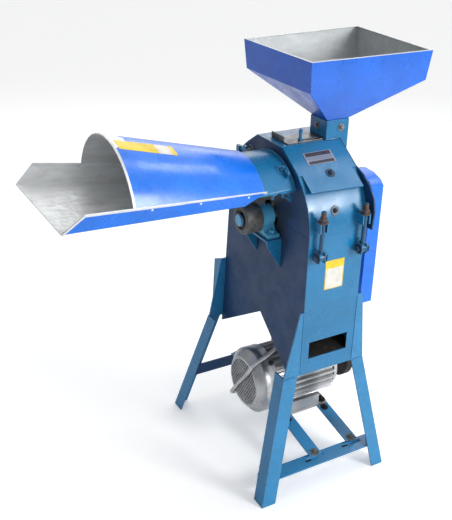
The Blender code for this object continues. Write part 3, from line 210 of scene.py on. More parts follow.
def paint(name, colour, gloss=0.30, worn=0.5, dust=0.35, chips=0.68, coat=0.15, bare=STEEL, inner=None,
          grease=0.0):
    """Sprayed paint with orange peel, uneven tone, hair scratches, chips, worn edges and settled dust.
    inner is (colour, centre, rim): faces turned towards the centre, and those facing up from the height
    of the rim, are left as galvanised sheet. grease is the reach from the shaft line within which the
    paint turns near black: painted shade behind the bearings, with grease."""
    mat, tree, shader, place = material(name)
    patches = noise(tree, place, 7.0, 4.0, 0.6)
    mottle = noise(tree, place, 70.0, 5.0, 0.7)
    tone = mix(tree, between(tree, patches, 0.35, 0.65), tinted(colour, 0.92), linear(colour))
    tone = mix(tree, between(tree, mottle, 0.45, 0.75, 0.0, 0.35), tone, tinted(colour, 1.10, 8))
    scratch = noise(tree, place, 22.0, 6.0, 0.75, (1.0, 14.0, 16.0), (0.3, 0.5, 0.9))
    crossing = noise(tree, place, 30.0, 6.0, 0.7, (12.0, 1.0, 14.0), (0.8, 0.2, 0.4))
    hairs = (between(tree, scratch, 0.685, 0.72), between(tree, crossing, 0.70, 0.73))
    scratches = maths(tree, "MAXIMUM", *hairs)
    tone = mix(tree, times(tree, scratches, 0.55 * worn), tone, linear(PRIMER))
    spots = between(tree, noise(tree, place, 130.0, 4.0, 0.75), chips, chips + 0.03)
    rubbed = between(tree, noise(tree, place, 38.0, 5.0, 0.7), 0.42, 0.62)
    rim = times(tree, edges(tree, 0.0022), rubbed)
    lost = maths(tree, "MAXIMUM", times(tree, spots, worn), times(tree, rim, worn))
    rusted = mix(tree, between(tree, noise(tree, place, 220.0, 3.0), 0.4, 0.6), linear(bare), linear(RUST))
    tone = mix(tree, lost, tone, rusted)
    upward = node(tree, "SeparateXYZ", {0: node(tree, "NewGeometry").outputs["Normal"]}).outputs["Z"]
    lying = times(tree, between(tree, upward, 0.3, 1.0), between(tree, mottle, 0.3, 0.8))
    # painted shade with dust: corners found by ambient occlusion are darkened, and dust lies on faces that
    # look up; dust scales both
    dirt_and_shade = times(tree, corners(tree, 0.022), 0.75)
    dirt_and_shade = times(tree, maths(tree, "MAXIMUM", dirt_and_shade, times(tree, lying, 0.5)), dust)
    tone = mix(tree, dirt_and_shade, tone, tinted(DUST, 0.55))
    # painted shade with grease: the paint darkens to near black round the shaft line, behind the bearings
    if grease:
        flat = vectors(tree, "MULTIPLY", place, (0.0, 1.0, 1.0))
        away = vectors(tree, "DISTANCE", flat, (0.0, SHAFT.y, SHAFT.z), "Value")
        ragged = times(tree, between(tree, patches, 0.3, 0.7, -0.25, 0.25), grease)
        near = maths(tree, "ADD", away, ragged)
        oily = between(tree, near, grease * 0.55, grease * 1.15, 0.85, 0.0)
        tone = mix(tree, oily, tone, linear(OIL_DARK))
    metal = times(tree, lost, 0.5)
    smear = between(tree, noise(tree, place, 18.0, 5.0, 0.65), 0.3, 0.7, gloss - 0.05, gloss + 0.12)
    roughness = maths(tree, "ADD", smear, times(tree, maths(tree, "ADD", dirt_and_shade, lost), 0.45))
    if inner:
        facing = towards(tree, inner[1], inner[2])
        sheet, sheet_rough = spangle(tree, place, inner[0])
        tone = mix(tree, facing, tone, sheet)
        roughness = node(tree, "Mix", {0: facing, 2: roughness, 3: sheet_rough}).outputs[0]
        metal = node(tree, "Mix", {0: facing, 2: metal, 3: 0.35}).outputs[0]
    peel = noise(tree, place, 520.0, 2.0, 0.5)
    dents = noise(tree, place, 9.0, 2.0, 0.4)
    height = maths(tree, "ADD", times(tree, peel, 0.12), times(tree, dents, 0.7))
    height = maths(tree, "SUBTRACT", height, times(tree, lost, 0.15))
    apply_nodes(tree, shader, tone, roughness, height, 0.35, 0.0012, metal)
    shader.inputs["Coat Weight"].default_value = coat
    shader.inputs["Coat Roughness"].default_value = 0.16
    return mat


def own_space(tree):
    """The spot and the flat normal in the object's own space, so that they keep to it as it moves."""
    spot = node(tree, "TexCoord").outputs["Object"]
    flat = node(tree, "NewGeometry").outputs["True Normal"]
    own = node(tree, "VectorTransform", {0: flat}, vector_type="NORMAL", convert_from="WORLD",
               convert_to="OBJECT")
    return spot, own.outputs[0]


def towards(tree, centre, rim):
    """1 on faces turned towards a centre line or facing up at the rim's height, and 0 elsewhere."""
    spot, flat = own_space(tree)
    facing = vectors(tree, "DOT_PRODUCT", vectors(tree, "SUBTRACT", centre, spot), flat, "Value")
    height = node(tree, "SeparateXYZ", {0: spot}).outputs["Z"]
    upright = node(tree, "SeparateXYZ", {0: flat}).outputs["Z"]
    edge = times(tree, between(tree, height, rim - 0.001, rim), between(tree, upright, 0.5, 0.7))
    return maths(tree, "MAXIMUM", between(tree, facing, -0.002, 0.002), edge)


def spangle(tree, place, colour):
    """Colour and roughness of dusty galvanised sheet with its crystal pattern."""
    crystals = node(tree, "TexVoronoi", {"Vector": place, "Scale": 140.0}).outputs["Color"]
    grain = node(tree, "SeparateColor", {0: crystals}).outputs[0]
    streak = noise(tree, place, 14.0, 5.0, 0.6, (1.0, 3.0, 3.0))
    low, high = tinted(colour, 0.95), tinted(colour, 1.04)
    tone = mix(tree, between(tree, streak, 0.3, 0.7), low, high)
    tone = mix(tree, times(tree, grain, 0.16), tone, linear(CRYSTAL))
    stains = between(tree, noise(tree, place, 11.0, 6.0, 0.7), 0.56, 0.74, 0.0, 0.30)
    tone = mix(tree, stains, tone, linear(ZINC_STAIN))
    roughness = between(tree, grain, 0.0, 1.0, 0.42, 0.62)
    return tone, roughness


def sheet_metal(name):
    """Bare galvanised sheet."""
    mat, tree, shader, place = material(name)
    tone, roughness = spangle(tree, place, GALVANISED)
    apply_nodes(tree, shader, tone, roughness, noise(tree, place, 240.0, 3.0), 0.2, 0.0003, 0.4)
    return mat


def iron(name, colour, rust, metallic, rough, grain=260.0, depth=0.0006):
    """Bare, cast or oily metal with rust blooming over it, darker in its corners with grime and painted
    shade.
    """
    mat, tree, shader, place = material(name)
    cloud = between(tree, noise(tree, place, 40.0, 6.0, 0.65), 0.3, 0.7)
    tone = mix(tree, cloud, tinted(colour, 0.66), linear(colour))
    bloom = noise(tree, place, 90.0, 7.0, 0.72)
    rusted = between(tree, bloom, 0.68 - 0.36 * rust, 0.82 - 0.36 * rust)
    brown = mix(tree, noise(tree, place, 300.0, 4.0, 0.7), linear(RUST_DEEP), linear(RUST_PALE))
    tone = mix(tree, times(tree, rusted, min(1.0, rust + 0.3)), tone, brown)
    worn = times(tree, edges(tree, 0.0015), 0.55)
    tone = mix(tree, worn, tone, tinted(colour, 1.25, 20))
    # painted shade with grime: corners found by ambient occlusion are darkened
    tone = mix(tree, times(tree, corners(tree, 0.012), 0.6), tone, linear(GRIME_AND_SHADE))
    metal = between(tree, rusted, 0.0, 1.0, metallic, 0.1)
    roughness = between(tree, rusted, 0.0, 1.0, rough, 0.85)
    apply_nodes(tree, shader, tone, roughness, noise(tree, place, grain, 5.0, 0.65), 0.55, depth, metal)
    return mat


def machined(name):
    """Turned or ground steel: fine rings of tool marks, oil and a little discolouring, darker in its hollows
    with oil and painted shade.
    """
    mat, tree, shader, place = material(name)
    marks = noise(tree, place, 30.0, 4.0, 0.6, (60.0, 2.0, 2.0))
    stain = noise(tree, place, 25.0, 5.0, 0.6)
    tone = mix(tree, between(tree, stain, 0.4, 0.7), linear(STEEL), tinted(STEEL, 0.62))
    # painted shade with oil: hollows found by ambient occlusion are darkened
    tone = mix(tree, times(tree, corners(tree, 0.01), 0.6), tone, linear(OIL_AND_SHADE))
    roughness = between(tree, marks, 0.3, 0.7, 0.26, 0.48)
    apply_nodes(tree, shader, tone, roughness, marks, 0.15, 0.0002, 0.85)
    return mat


def aluminium(name, colour=ALUMINIUM, rough=0.36, grain=420.0, metallic=0.7):
    """Cast aluminium under thin silver paint, darker in its grooves with dust and painted shade."""
    mat, tree, shader, place = material(name)
    grit = noise(tree, place, grain, 4.0, 0.6)
    cloud = noise(tree, place, 16.0, 5.0, 0.6)
    tone = mix(tree, between(tree, cloud, 0.3, 0.7), tinted(colour, 0.82), linear(colour))
    tone = mix(tree, between(tree, grit, 0.35, 0.75, 0.0, 0.4), tone, tinted(colour, 1.2))
    # painted shade with dust: grooves found by ambient occlusion are darkened
    tone = mix(tree, times(tree, corners(tree, 0.012), 0.7), tone, linear(DUST_AND_SHADE))
    tone = mix(tree, times(tree, edges(tree, 0.0015), 0.35), tone, linear(BARE_EDGE))
    roughness = between(tree, cloud, 0.3, 0.7, rough, rough + 0.18)
    apply_nodes(tree, shader, tone, roughness, grit, 0.4, 0.0005, metallic)
    return mat


def plastic(name, colour, rough, grain=600.0, dust=0.5):
    """Moulded plastic, rubber or cable sheath with a fine grain and dust."""
    mat, tree, shader, place = material(name)
    cloud = noise(tree, place, 30.0, 4.0, 0.6)
    tone = mix(tree, between(tree, cloud, 0.3, 0.7), tinted(colour, 0.85), linear(colour))
    settled = between(tree, noise(tree, place, 60.0, 5.0, 0.7), 0.5, 0.75, 0.0, 0.3 * dust)
    tone = mix(tree, settled, tone, linear(DUST))
    roughness = between(tree, cloud, 0.3, 0.7, rough - 0.06, rough + 0.12)
    apply_nodes(tree, shader, tone, roughness, noise(tree, place, grain, 3.0), 0.2, 0.0003)
    return mat


def printed(name, colour, rough, metallic=0.0):
    """A printed face: almost even, slightly faded and scuffed."""
    mat, tree, shader, place = material(name)
    fade = noise(tree, place, 45.0, 4.0, 0.6)
    tone = mix(tree, between(tree, fade, 0.35, 0.7), linear(colour), tinted(colour, 0.88, 10))
    scuff = between(tree, noise(tree, place, 160.0, 6.0, 0.75), 0.64, 0.70, 0.0, 0.5)
    tone = mix(tree, scuff, tone, linear(SCUFF))
    roughness = between(tree, fade, 0.3, 0.7, rough - 0.08, rough + 0.1)
    apply_nodes(tree, shader, tone, roughness, noise(tree, place, 120.0, 3.0), 0.12, 0.0003, metallic)
    return mat


# ==== meshes
trees = {}      # each CAD node's surface, once asked for


def seat(name, start, direction):
    """Where a line from start meets a CAD node, and the outward normal there."""
    if name not in trees:
        mesh = NODES[name].data
        trees[name] = BVHTree.FromPolygons([v.co for v in mesh.vertices], [p.vertices for p in mesh.polygons])
    spot, normal, _, _ = trees[name].ray_cast(start, direction.normalized())
    if spot is None:
        raise ValueError(f"nothing of {name} lies on the line from {tuple(start)}")
    return spot, normal if normal.dot(direction) < 0 else -normal


def across(axis):
    """Two directions square to the axis and to each other."""
    side = axis.cross(Z if abs(axis.z) < 0.9 else X).normalized()
    return side, axis.cross(side).normalized()


def skin(bm, rings, ends=True):
    """Faces between each ring of vertices and the next, and over the first and the last."""
    for low, high in zip(rings, rings[1:]):
        for k in range(len(low)):
            n = (k + 1) % len(low)
            bm.faces.new((low[k], low[n], high[n], high[k]))
    if ends:
        bm.faces.new(list(reversed(rings[0])))
        bm.faces.new(rings[-1])


def circle(bm, middle, u, v, radius, sides, turn=0.0):
    """A ring of vertices about its middle."""
    turns = [turn + 2 * math.pi * k / sides for k in range(sides)]
    return [bm.verts.new(middle + (u * math.cos(a) + v * math.sin(a)) * radius) for a in turns]


def turned(bm, base, axis, profile, sides=24, turn=0.0):
    """A solid turned about an axis: profile holds (radius, height) from the base, closed at both ends."""
    u, v = across(axis)
    skin(bm, [circle(bm, base + axis * height, u, v, radius, sides, turn) for radius, height in profile])


def slab(bm, outline, push):
    """A plate: an outline and the same outline pushed along, closed all round."""
    skin(bm, [[bm.verts.new(p) for p in outline], [bm.verts.new(p + push) for p in outline]])


def block(bm, middle, u, v, w, size):
    """A box round its middle, with its three directions and lengths."""
    a, b, c = u * size[0] / 2, v * size[1] / 2, w * size[2] / 2
    slab(bm, [middle - a - b - c, middle + a - b - c, middle + a + b - c, middle - a + b - c], c * 2)


def tube(bm, points, radius_at):
    """A round bar along a line of points, with the radius that radius_at gives for each of them."""
    rings = []
    side = None
    for k, point in enumerate(points):
        ahead = (points[min(k + 1, len(points) - 1)] - points[max(k - 1, 0)]).normalized()
        side = across(ahead)[0] if side is None else (side - ahead * side.dot(ahead)).normalized()
        rings.append(circle(bm, point, side, ahead.cross(side), radius_at(k), 8))
    skin(bm, rings)


def bead(bm, corners_of, radius):
    """A weld bead: a row of overlapping ripples along a line of points."""
    step = radius * 0.45
    points = []
    for start, end in zip(corners_of, corners_of[1:]):
        count = max(1, round((end - start).length / step))
        points += [start.lerp(end, k / count) for k in range(count)]
    points.append(corners_of[-1])
    last = len(points) - 1

    def ripple(k):
        taper = min(1.0, (k + 1) / 4, (last - k + 1) / 4)
        return radius * taper * (0.86 + 0.14 * math.sin(k * 1.55) + 0.06 * math.sin(k * 0.37))

    tube(bm, points, ripple)


HEM_THICK = 0.0026
HEM_PROUD = 0.0001      # how far a hem stands past its sheet


def hem(bm, points, into, across_sheet, deep=0.007):
    """A folded sheet edge along a line of points. into points from the edge into the sheet, and
    across_sheet is square to the sheet; each is one direction or one for every point."""
    rings = []
    for k, point in enumerate(points):
        d = into[k] if isinstance(into, list) else into
        n = across_sheet[k] if isinstance(across_sheet, list) else across_sheet
        half = n * HEM_THICK / 2
        edge = point - d * HEM_PROUD
        fold = edge + d * deep
        rings.append([bm.verts.new(p) for p in (edge - half, edge + half, fold + half, fold - half)])
    skin(bm, rings)


def furthest(name, *way):
    """The corner of a CAD node that lies furthest along a direction."""
    return max((v.co for v in NODES[name].data.vertices), key=Vector(way).dot).copy()


def hex_head(bm, base, axis, across_flats, tall, turn):
    """A hexagon head or nut with its corners turned down."""
    r = across_flats / 2 / math.cos(math.pi / 6)
    turned(bm, base, axis, [(r * 0.96, 0.0), (r, tall * 0.06), (r, tall * 0.80), (r * 0.86, tall)], 6, turn)


def bolt(bm, spot, normal, size, turn, washer, stud):
    """A hexagon bolt on its washer, or a nut with the end of its stud showing."""
    lift = 0.0
    if washer:
        wide = size * 1.12
        turned(bm, spot, normal, [(wide * 0.97, 0.0), (wide, 0.0004), (wide, 0.0014), (wide * 0.96, 0.0018)])
        lift = 0.0016
    hex_head(bm, spot + normal * lift, normal, size, size * 0.52, turn)
    if stud:
        top = lift + size * 0.5
        threaded(bm, spot + normal * top, normal, size * 0.30, stud)


def threaded(bm, base, axis, radius, length, pitch=0.0014):
    """The end of a screw: a row of thread ridges and a chamfer."""
    profile = []
    for k in range(max(2, int(length / pitch))):
        profile += [(radius * 0.86, k * pitch), (radius, (k + 0.5) * pitch)]
    profile += [(radius * 0.84, len(profile) / 2 * pitch), (radius * 0.55, len(profile) / 2 * pitch + 0.0006)]
    turned(bm, base, axis, profile, 14)


def rivet(bm, spot, normal, radius):
    """A domed rivet or screw head."""
    tall = radius * 0.45
    steps = [math.radians(a) for a in (0, 22, 45, 66, 84)]
    profile = [(radius * 1.02, 0.0)]
    profile += [(radius * math.cos(a), tall * (0.15 + 0.85 * math.sin(a))) for a in steps]
    turned(bm, spot, normal, profile, 16)


def smoothing():
    """Node group: joins split vertices, then shades smooth except over sharp edges."""
    tree = bpy.data.node_groups.new("smooth_by_angle", "GeometryNodeTree")
    for way in ("INPUT", "OUTPUT"):
        tree.interface.new_socket("Geometry", in_out=way, socket_type="NodeSocketGeometry")
    come, leave = tree.nodes.new("NodeGroupInput"), tree.nodes.new("NodeGroupOutput")
    bare = tree.nodes.new("GeometryNodeRemoveAttribute")
    bare.inputs["Name"].default_value = "custom_normal"
    weld = tree.nodes.new("GeometryNodeMergeByDistance")
    weld.inputs["Distance"].default_value = 0.00001
    faces, all_edges, sharp = [tree.nodes.new("GeometryNodeSetShadeSmooth") for _ in range(3)]
    all_edges.domain = "EDGE"
    sharp.domain = "EDGE"
    sharp.inputs["Shade Smooth"].default_value = False
    angle = tree.nodes.new("GeometryNodeInputMeshEdgeAngle")
    over = tree.nodes.new("FunctionNodeCompare")
    over.inputs[1].default_value = SMOOTH_ANGLE
    tree.links.new(angle.outputs[0], over.inputs[0])
    tree.links.new(over.outputs[0], sharp.inputs["Selection"])
    chain = [come, bare, weld, faces, all_edges, sharp, leave]
    for a, b in zip(chain, chain[1:]):
        tree.links.new(a.outputs[0], b.inputs[0])
    return tree


SMOOTH_ANGLE = math.radians(32)
SMOOTH = smoothing()


def soften(obj, width=0.0):
    """Shades round faces smooth and gives sharp edges a small real radius."""
    obj.modifiers.new("smooth", "NODES").node_group = SMOOTH
    if width:
        flat = obj.modifiers.new("flat", "DECIMATE")
        flat.decimate_type = "DISSOLVE"
        flat.angle_limit = math.radians(0.4)
        bevel = obj.modifiers.new("edges", "BEVEL")
        bevel.width = width
        bevel.segments = 2
        bevel.limit_method = "ANGLE"
        bevel.angle_limit = SMOOTH_ANGLE
        obj.modifiers.new("shading", "WEIGHTED_NORMAL").keep_sharp = True


def placed(name, data):
    """A new object in the scene."""
    obj = bpy.data.objects.new(name, data)
    SCENE.collection.objects.link(obj)
    return obj


def solid(name, bm, mat):
    """An object in the scene from a finished mesh, in one material."""
    mesh = bpy.data.meshes.new(name)
    bm.to_mesh(mesh)
    bm.free()
    mesh.materials.append(mat)
    return placed(name, mesh)


def piece(name, bm, mat, body, slot, width=0.0):
    """A finished mesh riding on a body."""
    bmesh.ops.recalc_face_normals(bm, faces=bm.faces[:])
    obj = solid(name, bm, mat)
    soften(obj, width)
    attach(obj, body)
    return obj


def decal(name, node_name, middle, u, v, size, look, mat, body, slot, lift=0.0004, cells=(12, 8)):
    """A thin label lying on a CAD surface: a grid dropped on to it along look."""
    bm = bmesh.new()
    wide, tall = cells
    grid = []
    for j in range(tall + 1):
        over = [middle + u * size[0] * (i / wide - 0.5) + v * size[1] * (j / tall - 0.5)
                for i in range(wide + 1)]
        grid.append([seat(node_name, p - look * 0.05, look) for p in over])
    low = [[bm.verts.new(p + n * 0.00005) for p, n in row] for row in grid]
    high = [[bm.verts.new(p + n * lift) for p, n in row] for row in grid]
    for rows in (low, high):
        for j in range(tall):
            for i in range(wide):
                bm.faces.new((rows[j][i], rows[j][i + 1], rows[j + 1][i + 1], rows[j + 1][i]))
    border = [(0, i) for i in range(wide)] + [(j, wide) for j in range(tall)]
    border += [(tall, i) for i in range(wide, 0, -1)] + [(j, 0) for j in range(tall, 0, -1)]
    skin(bm, [[rows[j][i] for j, i in border] for rows in (low, high)], ends=False)
    return piece(name, bm, mat, body, slot)


# ==== finishes of the CAD nodes
def lining(name, drop, colour=GALVANISED):
    """The bare inside of a painted sheet part: its colour, and in its own space the point it turns to
    and the height of its rim."""
    low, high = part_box(name)
    own = NODES[name].matrix_world.inverted()
    centre = own @ ((low + high) / 2 + Z * drop)
    return colour, tuple(centre), (own @ high).z - 0.012


teal = paint("teal_paint_worn", TEAL, 0.28, worn=0.8, dust=0.5, chips=0.655)
# painted shade: a darker copy of the teal for the parts that face left or sit under the machine; near the
# shaft it turns near black (see grease)
teal_shaded = paint("teal_paint_shaded", TEAL_SHADED, 0.46, dust=0.12, chips=0.66, coat=0.0, grease=0.125)
bearing_paint = paint("bearing_paint", BEARING_BLUE, worn=0.6, dust=0.15)
leg_paint = paint("leg_paint", LEG_BLUE, worn=0.9, dust=0.4, chips=0.65)
# grime with painted shade: darker teal for the latch pivots, the nuts under the bearing shelves and the front
# bolts
grimy_shaded_teal = paint("teal_paint_grimy_shaded", TEAL_GRIMY_SHADED, 0.42, worn=0.8, dust=0.6, chips=0.62, coat=0.1)
rod_paint = paint("rod_paint", ROD_TEAL, 0.34, worn=1.0, dust=0.3, chips=0.60, bare=RUST)
FRESH = {"dust": 0.2, "chips": 0.70}        # paint of the newer sheet parts
azure = paint("azure_paint_outside", AZURE, worn=0.4, coat=0.1, **FRESH)
trough_skin = paint("trough_paint", AZURE, coat=0.1, inner=lining("trough", 0.02), **FRESH)
cover_skin = paint("cover_paint", AZURE, 0.24, 0.4, coat=0.1, inner=lining("trough_cover", -0.10), **FRESH)
hopper_inner = lining("hopper", 0.0, ZINC_DULL)
hopper_skin = paint("hopper_paint", HOPPER_BLUE, 0.28, 0.4, inner=hopper_inner, **FRESH)
zinc = sheet_metal("galvanised_sheet")
rusty = iron("rusty_iron_scale", RUST, 0.8, 0.3, 0.7)
ring_iron = iron("weathered_casting", CAST_GREY, 0.25, 0.4, 0.6, 200.0, 0.0009)
worn_steel = iron("worn_steel", STEEL, 0.32, 0.8, 0.4)
dark_iron = iron("dark_oily_iron", OIL_DARK, 0.35, 0.5, 0.5)
bright = machined("machined_steel")
silver = aluminium("silver_casting")
polished = aluminium("spun_aluminium", SPUN, 0.28, 300.0, 0.85)
rubber = plastic("belt_rubber_dusty", RUBBER, 0.62)
sheath = plastic("cable_sheath", SHEATH, 0.42, 700.0, 0.4)
moulded = plastic("moulded_grey", MOULDED, 0.45)

# every part that these names leave out is worn steel
FINISHES = (
    (teal, "right_side_plate front_panel rear_panel left_bearing_bracket right_bearing_bracket hood_shell "
           "hood_slope_cover inlet_duct chute gate_clamp"),
    (teal_shaded, "left_side_plate rear_crossbar hood_left_plate hood_right_plate"),
    (leg_paint, "front_left_leg front_right_leg back_left_leg back_right_leg front_crossbar "
                "motor_rail_left motor_rail_right"),
    (bearing_paint, "left_bearing right_bearing"), (azure, "belt_guard"), (trough_skin, "trough"),
    (cover_skin, "trough_cover"), (hopper_skin, "hopper"), (rod_paint, "latch_bolt_left latch_bolt_right"),
    (bright, "main_shaft motor_shaft hammer_pin_a hammer_pin_b hammer_pin_c"), (rubber, "drive_belt"),
    # the discharge slide is dark iron for dust and painted shade inside the window; the pulleys are dark iron
    (dark_iron, "discharge_slide driven_pulley motor_pulley"), (moulded, "motor_fan"),
    (silver, "motor_housing motor_end_bell terminal_box"), (polished, "motor_fan_cover"),
    (sheath, "motor_lead"), (ring_iron, "shaft_end_ring"),
)
FINISH_OF = {name: finish for finish, names in FINISHES for name in names.split()}
EDGE_RADII = {
    "left_bearing": 0.0015, "right_bearing": 0.0015, "motor_end_bell": 0.002, "terminal_box": 0.003,
    "shaft_end_ring": 0.002, "driven_pulley": 0.0008, "motor_pulley": 0.0008, "motor_lead": 0.0,
    "drive_belt": 0.0, "motor_fan_cover": 0.0, "screen": 0.0, "motor_housing": 0.0,
}
SHEET_EDGE = 0.0006
for name, obj in NODES.items():
    for place in obj.material_slots:
        place.material = FINISH_OF.get(name, worn_steel)
    soften(obj, EDGE_RADII.get(name, SHEET_EDGE))


# ==== labels, blank
PLATE_SIZE = (0.088, 0.040, 0.0009)


def nameplate():
    """Printed metal plate on the slope, held by four rivets."""
    slope = [at(0.0, -0.060, 1.1), at(0.0, -0.110, 1.1)]
    top, low = [seat("hood_slope_cover", p, -Z)[0] for p in slope]
    down = (low - top).normalized()
    normal = X.cross(down).normalized()
    normal = normal if normal.z > 0 else -normal
    middle = top.lerp(low, 0.52) + X * 0.001
    bm = bmesh.new()
    block(bm, middle + normal * 0.0006, X, down, normal, PLATE_SIZE)
    for i in (-1, 1):
        for j in (-1, 1):
            rivet(bm, middle + normal * 0.001 + X * i * 0.0405 + down * j * 0.0168, normal, 0.0016)
    piece("nameplate", bm, printed("plate_metal", PLATE_GREY, 0.35, 0.4), "hood", "bare_steel")
    bands = ((-0.0122, 0.0118, PRINT_DARK), (0.0012, 0.0112, PRINT_LILAC), (0.0136, 0.0092, PRINT_DARK))
    for number, (shift, tall, colour) in enumerate(bands, 1):
        bm = bmesh.new()
        block(bm, middle + normal * 0.00115 + down * shift, X, down, normal, (0.078, tall, 0.0002))
        print_finish = printed(f"plate_print_{number}", colour, 0.35)
        piece(f"nameplate_band_{number}", bm, print_finish, "hood", "bare_steel")


def stickers():
    """Blank stickers on the front panel and the trough cover: yellow edges and pale fields."""
    yellow, white = printed("label_yellow", YELLOW, 0.42), printed("label_white", LABEL_WHITE, 0.45)
    low, high = 0.641, 0.726
    middle = at(0.0, -0.25, (low + high) / 2)
    panel = ("frame", "teal_paint")
    decal("front_sticker", "front_panel", middle, X, Z, (0.060, high - low), Y, yellow, *panel)
    field = middle - Z * 0.0105
    decal("front_sticker_field", "front_panel", field, X, Z, (0.0535, 0.0590), Y, white, *panel, 0.0007)
    low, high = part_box("trough_cover")
    start = Vector((low.x + 0.020, SHAFT.y - 0.041, high.z + 0.02))
    crown = ("hood", "azure_paint")
    decal("cover_sticker", "trough_cover", start + X * 0.080, X, Y, (0.150, 0.040), -Z, yellow, *crown,
          0.0004, (24, 8))
    decal("cover_sticker_field", "trough_cover", start + X * 0.124, X, Y, (0.036, 0.040), -Z, white, *crown,
          0.0007)


# ==== fasteners
def bolts(name, places, mat, body, slot, size, stud=0.0, washer=True):
    """Bolts or nuts seated on CAD nodes: places holds (node, start, direction)."""
    bm = bmesh.new()
    for k, (node_name, start, way) in enumerate(places):
        bolt(bm, *seat(node_name, start, way), size, 0.3 + 0.7 * k, washer, stud)
    return piece(name, bm, mat, body, slot, 0.0003)


def hood_fasteners():
    """Bolts of the hood, the inlet duct and the chute."""
    painted = ("hood", "teal_paint")
    bare = ("hood", "bare_steel")
    front = [("hood_slope_cover", at(0.007, -0.130, 1.1), -Z), ("hood_shell", at(-0.007, -0.4, 0.863), Y)]
    bolts("hood_front_bolts", front, grimy_shaded_teal, *painted, 0.012, stud=0.005)
    left = [("hood_left_plate", at(-0.4, y, z), X) for y, z in ((-0.010, 0.870), (-0.088, 0.882))]
    bolts("hood_side_bolts", left, teal, *painted, 0.012, stud=0.006)
    under = [("inlet_duct", at(x, -0.104, 0.75), Z) for x in (-0.101, -0.120, -0.150)]
    bolts("duct_floor_bolts", under, teal, *painted, 0.013, stud=0.011)
    bolts("duct_roof_bolt", [("inlet_duct", at(-0.112, -0.079, 1.2), -Z)], teal, *painted, 0.012, stud=0.010)
    back = [("hood_left_plate", at(-0.4, 0.112, 0.949), X)]
    bolts("duct_back_bolt", back, bright, *bare, 0.014, stud=0.006)
    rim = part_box("chute")[1].z - 0.022
    corner = [("chute", at(-0.2, 0.003, rim), X), ("chute", at(0.097, -0.3, rim), Y)]
    bolts("chute_bolts", corner, worn_steel, *bare, 0.009)


def duct_lugs():
    """Small plates welded to the duct and the hood where the trough is drawn up and lifted."""
    bm = bmesh.new()
    spot, normal = seat("inlet_duct", at(-0.100, -0.088, 1.2), -Z)
    spot -= X * 0.006
    along = across(normal)[1]
    block(bm, spot + normal * 0.004, X, along, normal, (0.004, 0.030, 0.012))
    turns = [math.radians(d) for d in range(0, 181, 20)]
    loop = [along * 0.014 * math.cos(a) + normal * (0.010 + 0.008 * math.sin(a)) for a in turns]
    tube(bm, [spot + p for p in loop], lambda k: 0.0022)
    for y in (0.128, 0.165):
        block(bm, at(-0.0945, y, 0.949 - 0.25 * (y - 0.128)), X, Y, Z, (0.012, 0.016, 0.018))
    block(bm, at(-0.0925, 0.146, 0.944), X, Y, Z, (0.008, 0.062, 0.010))
    piece("duct_lugs", bm, teal, "hood", "teal_paint", 0.0008)


def gate_wing():
    """Wing of the gate's clamp screw."""
    top = centre_of("gate_clamp")
    top.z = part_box("gate_clamp")[1].z
    half = [(-0.004, -0.014), (0.004, -0.014), (0.0065, -0.006), (0.005, 0.0), (0.0028, 0.0)]
    outline = half + [(-0.0028, 0.0), (-0.005, 0.0), (-0.0065, -0.006)]
    thick = 0.0024
    bm = bmesh.new()
    slab(bm, [top + X * x + Z * z - Y * thick / 2 for x, z in outline], Y * thick)
    piece("gate_wing", bm, teal, "hood", "teal_paint", 0.0005)


def latch_details():
    """Pivot bolts through the ears, threads and rusty nuts of the two swing bolts."""
    bm = bmesh.new()
    for side in ("left", "right"):
        low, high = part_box(f"latch_bolt_{side}")
        rod = centre_of(f"latch_bolt_{side}")
        for way in (-1, 1):
            beside = Vector((rod.x + way * 0.040, rod.y, low.z + 0.011))
            stud = 0.005 if way > 0 else 0.0
            bolt(bm, *seat("front_panel", beside, X * -way), 0.013, 0.4, True, stud)
        nut = Vector((rod.x, rod.y, high.z - 0.0280))
        tip = bmesh.new()
        hex_head(tip, nut, Z, 0.0198, 0.0100, 0.25)
        threaded(tip, nut + Z * 0.0105, Z, 0.0072, 0.0159, 0.0016)
        turned(tip, nut - Z * 0.0025, Z, [(0.0138, 0.0), (0.0142, 0.0006), (0.0138, 0.0026)])
        piece(f"latch_nut_{side}", tip, rusty, f"latch_{side}", "rusty_iron", 0.0003)
    piece("latch_pivots", bm, grimy_shaded_teal, "frame", "teal_paint", 0.0003)


def stand_fasteners():
    """Bolts on the crossbar, each with a thin dark plate beside it as painted shadow of a slot, and bolts
    along the motor's rails.
    """
    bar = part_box("front_crossbar")[1].z
    slots, clamps, rear = [], [], []
    bm = bmesh.new()
    for rail in ("motor_rail_left", "motor_rail_right"):
        low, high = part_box(rail)
        x = (low.x + high.x) / 2
        slots.append((rail, Vector((x, low.y + 0.006, bar + 0.2)), -Z))
        clamps.append((rail, Vector((x - 0.002, SHAFT.y - 0.043, bar + 0.2)), -Z))
        rear.append((rail, Vector((x, high.y - 0.012, high.z + 0.1)), -Z))
        # painted shadow: a thin dark plate beside each crossbar bolt stands for the shade in a slot
        block(bm, Vector((x - 0.030, low.y - 0.008, bar + 0.0001)), X, Y, Z, (0.020, 0.0075, 0.0004))
    rust = ("frame", "rusty_iron")
    bolts("crossbar_bolts", slots, ring_iron, *rust, 0.012, stud=0.009)
    piece("crossbar_slot_shadows", bm, dark_iron, *rust)
    bolts("rail_bolts", clamps, dark_iron, *rust, 0.011, stud=0.006)
    bolts("rail_back_bolts", rear, ring_iron, *rust, 0.012, stud=0.009)


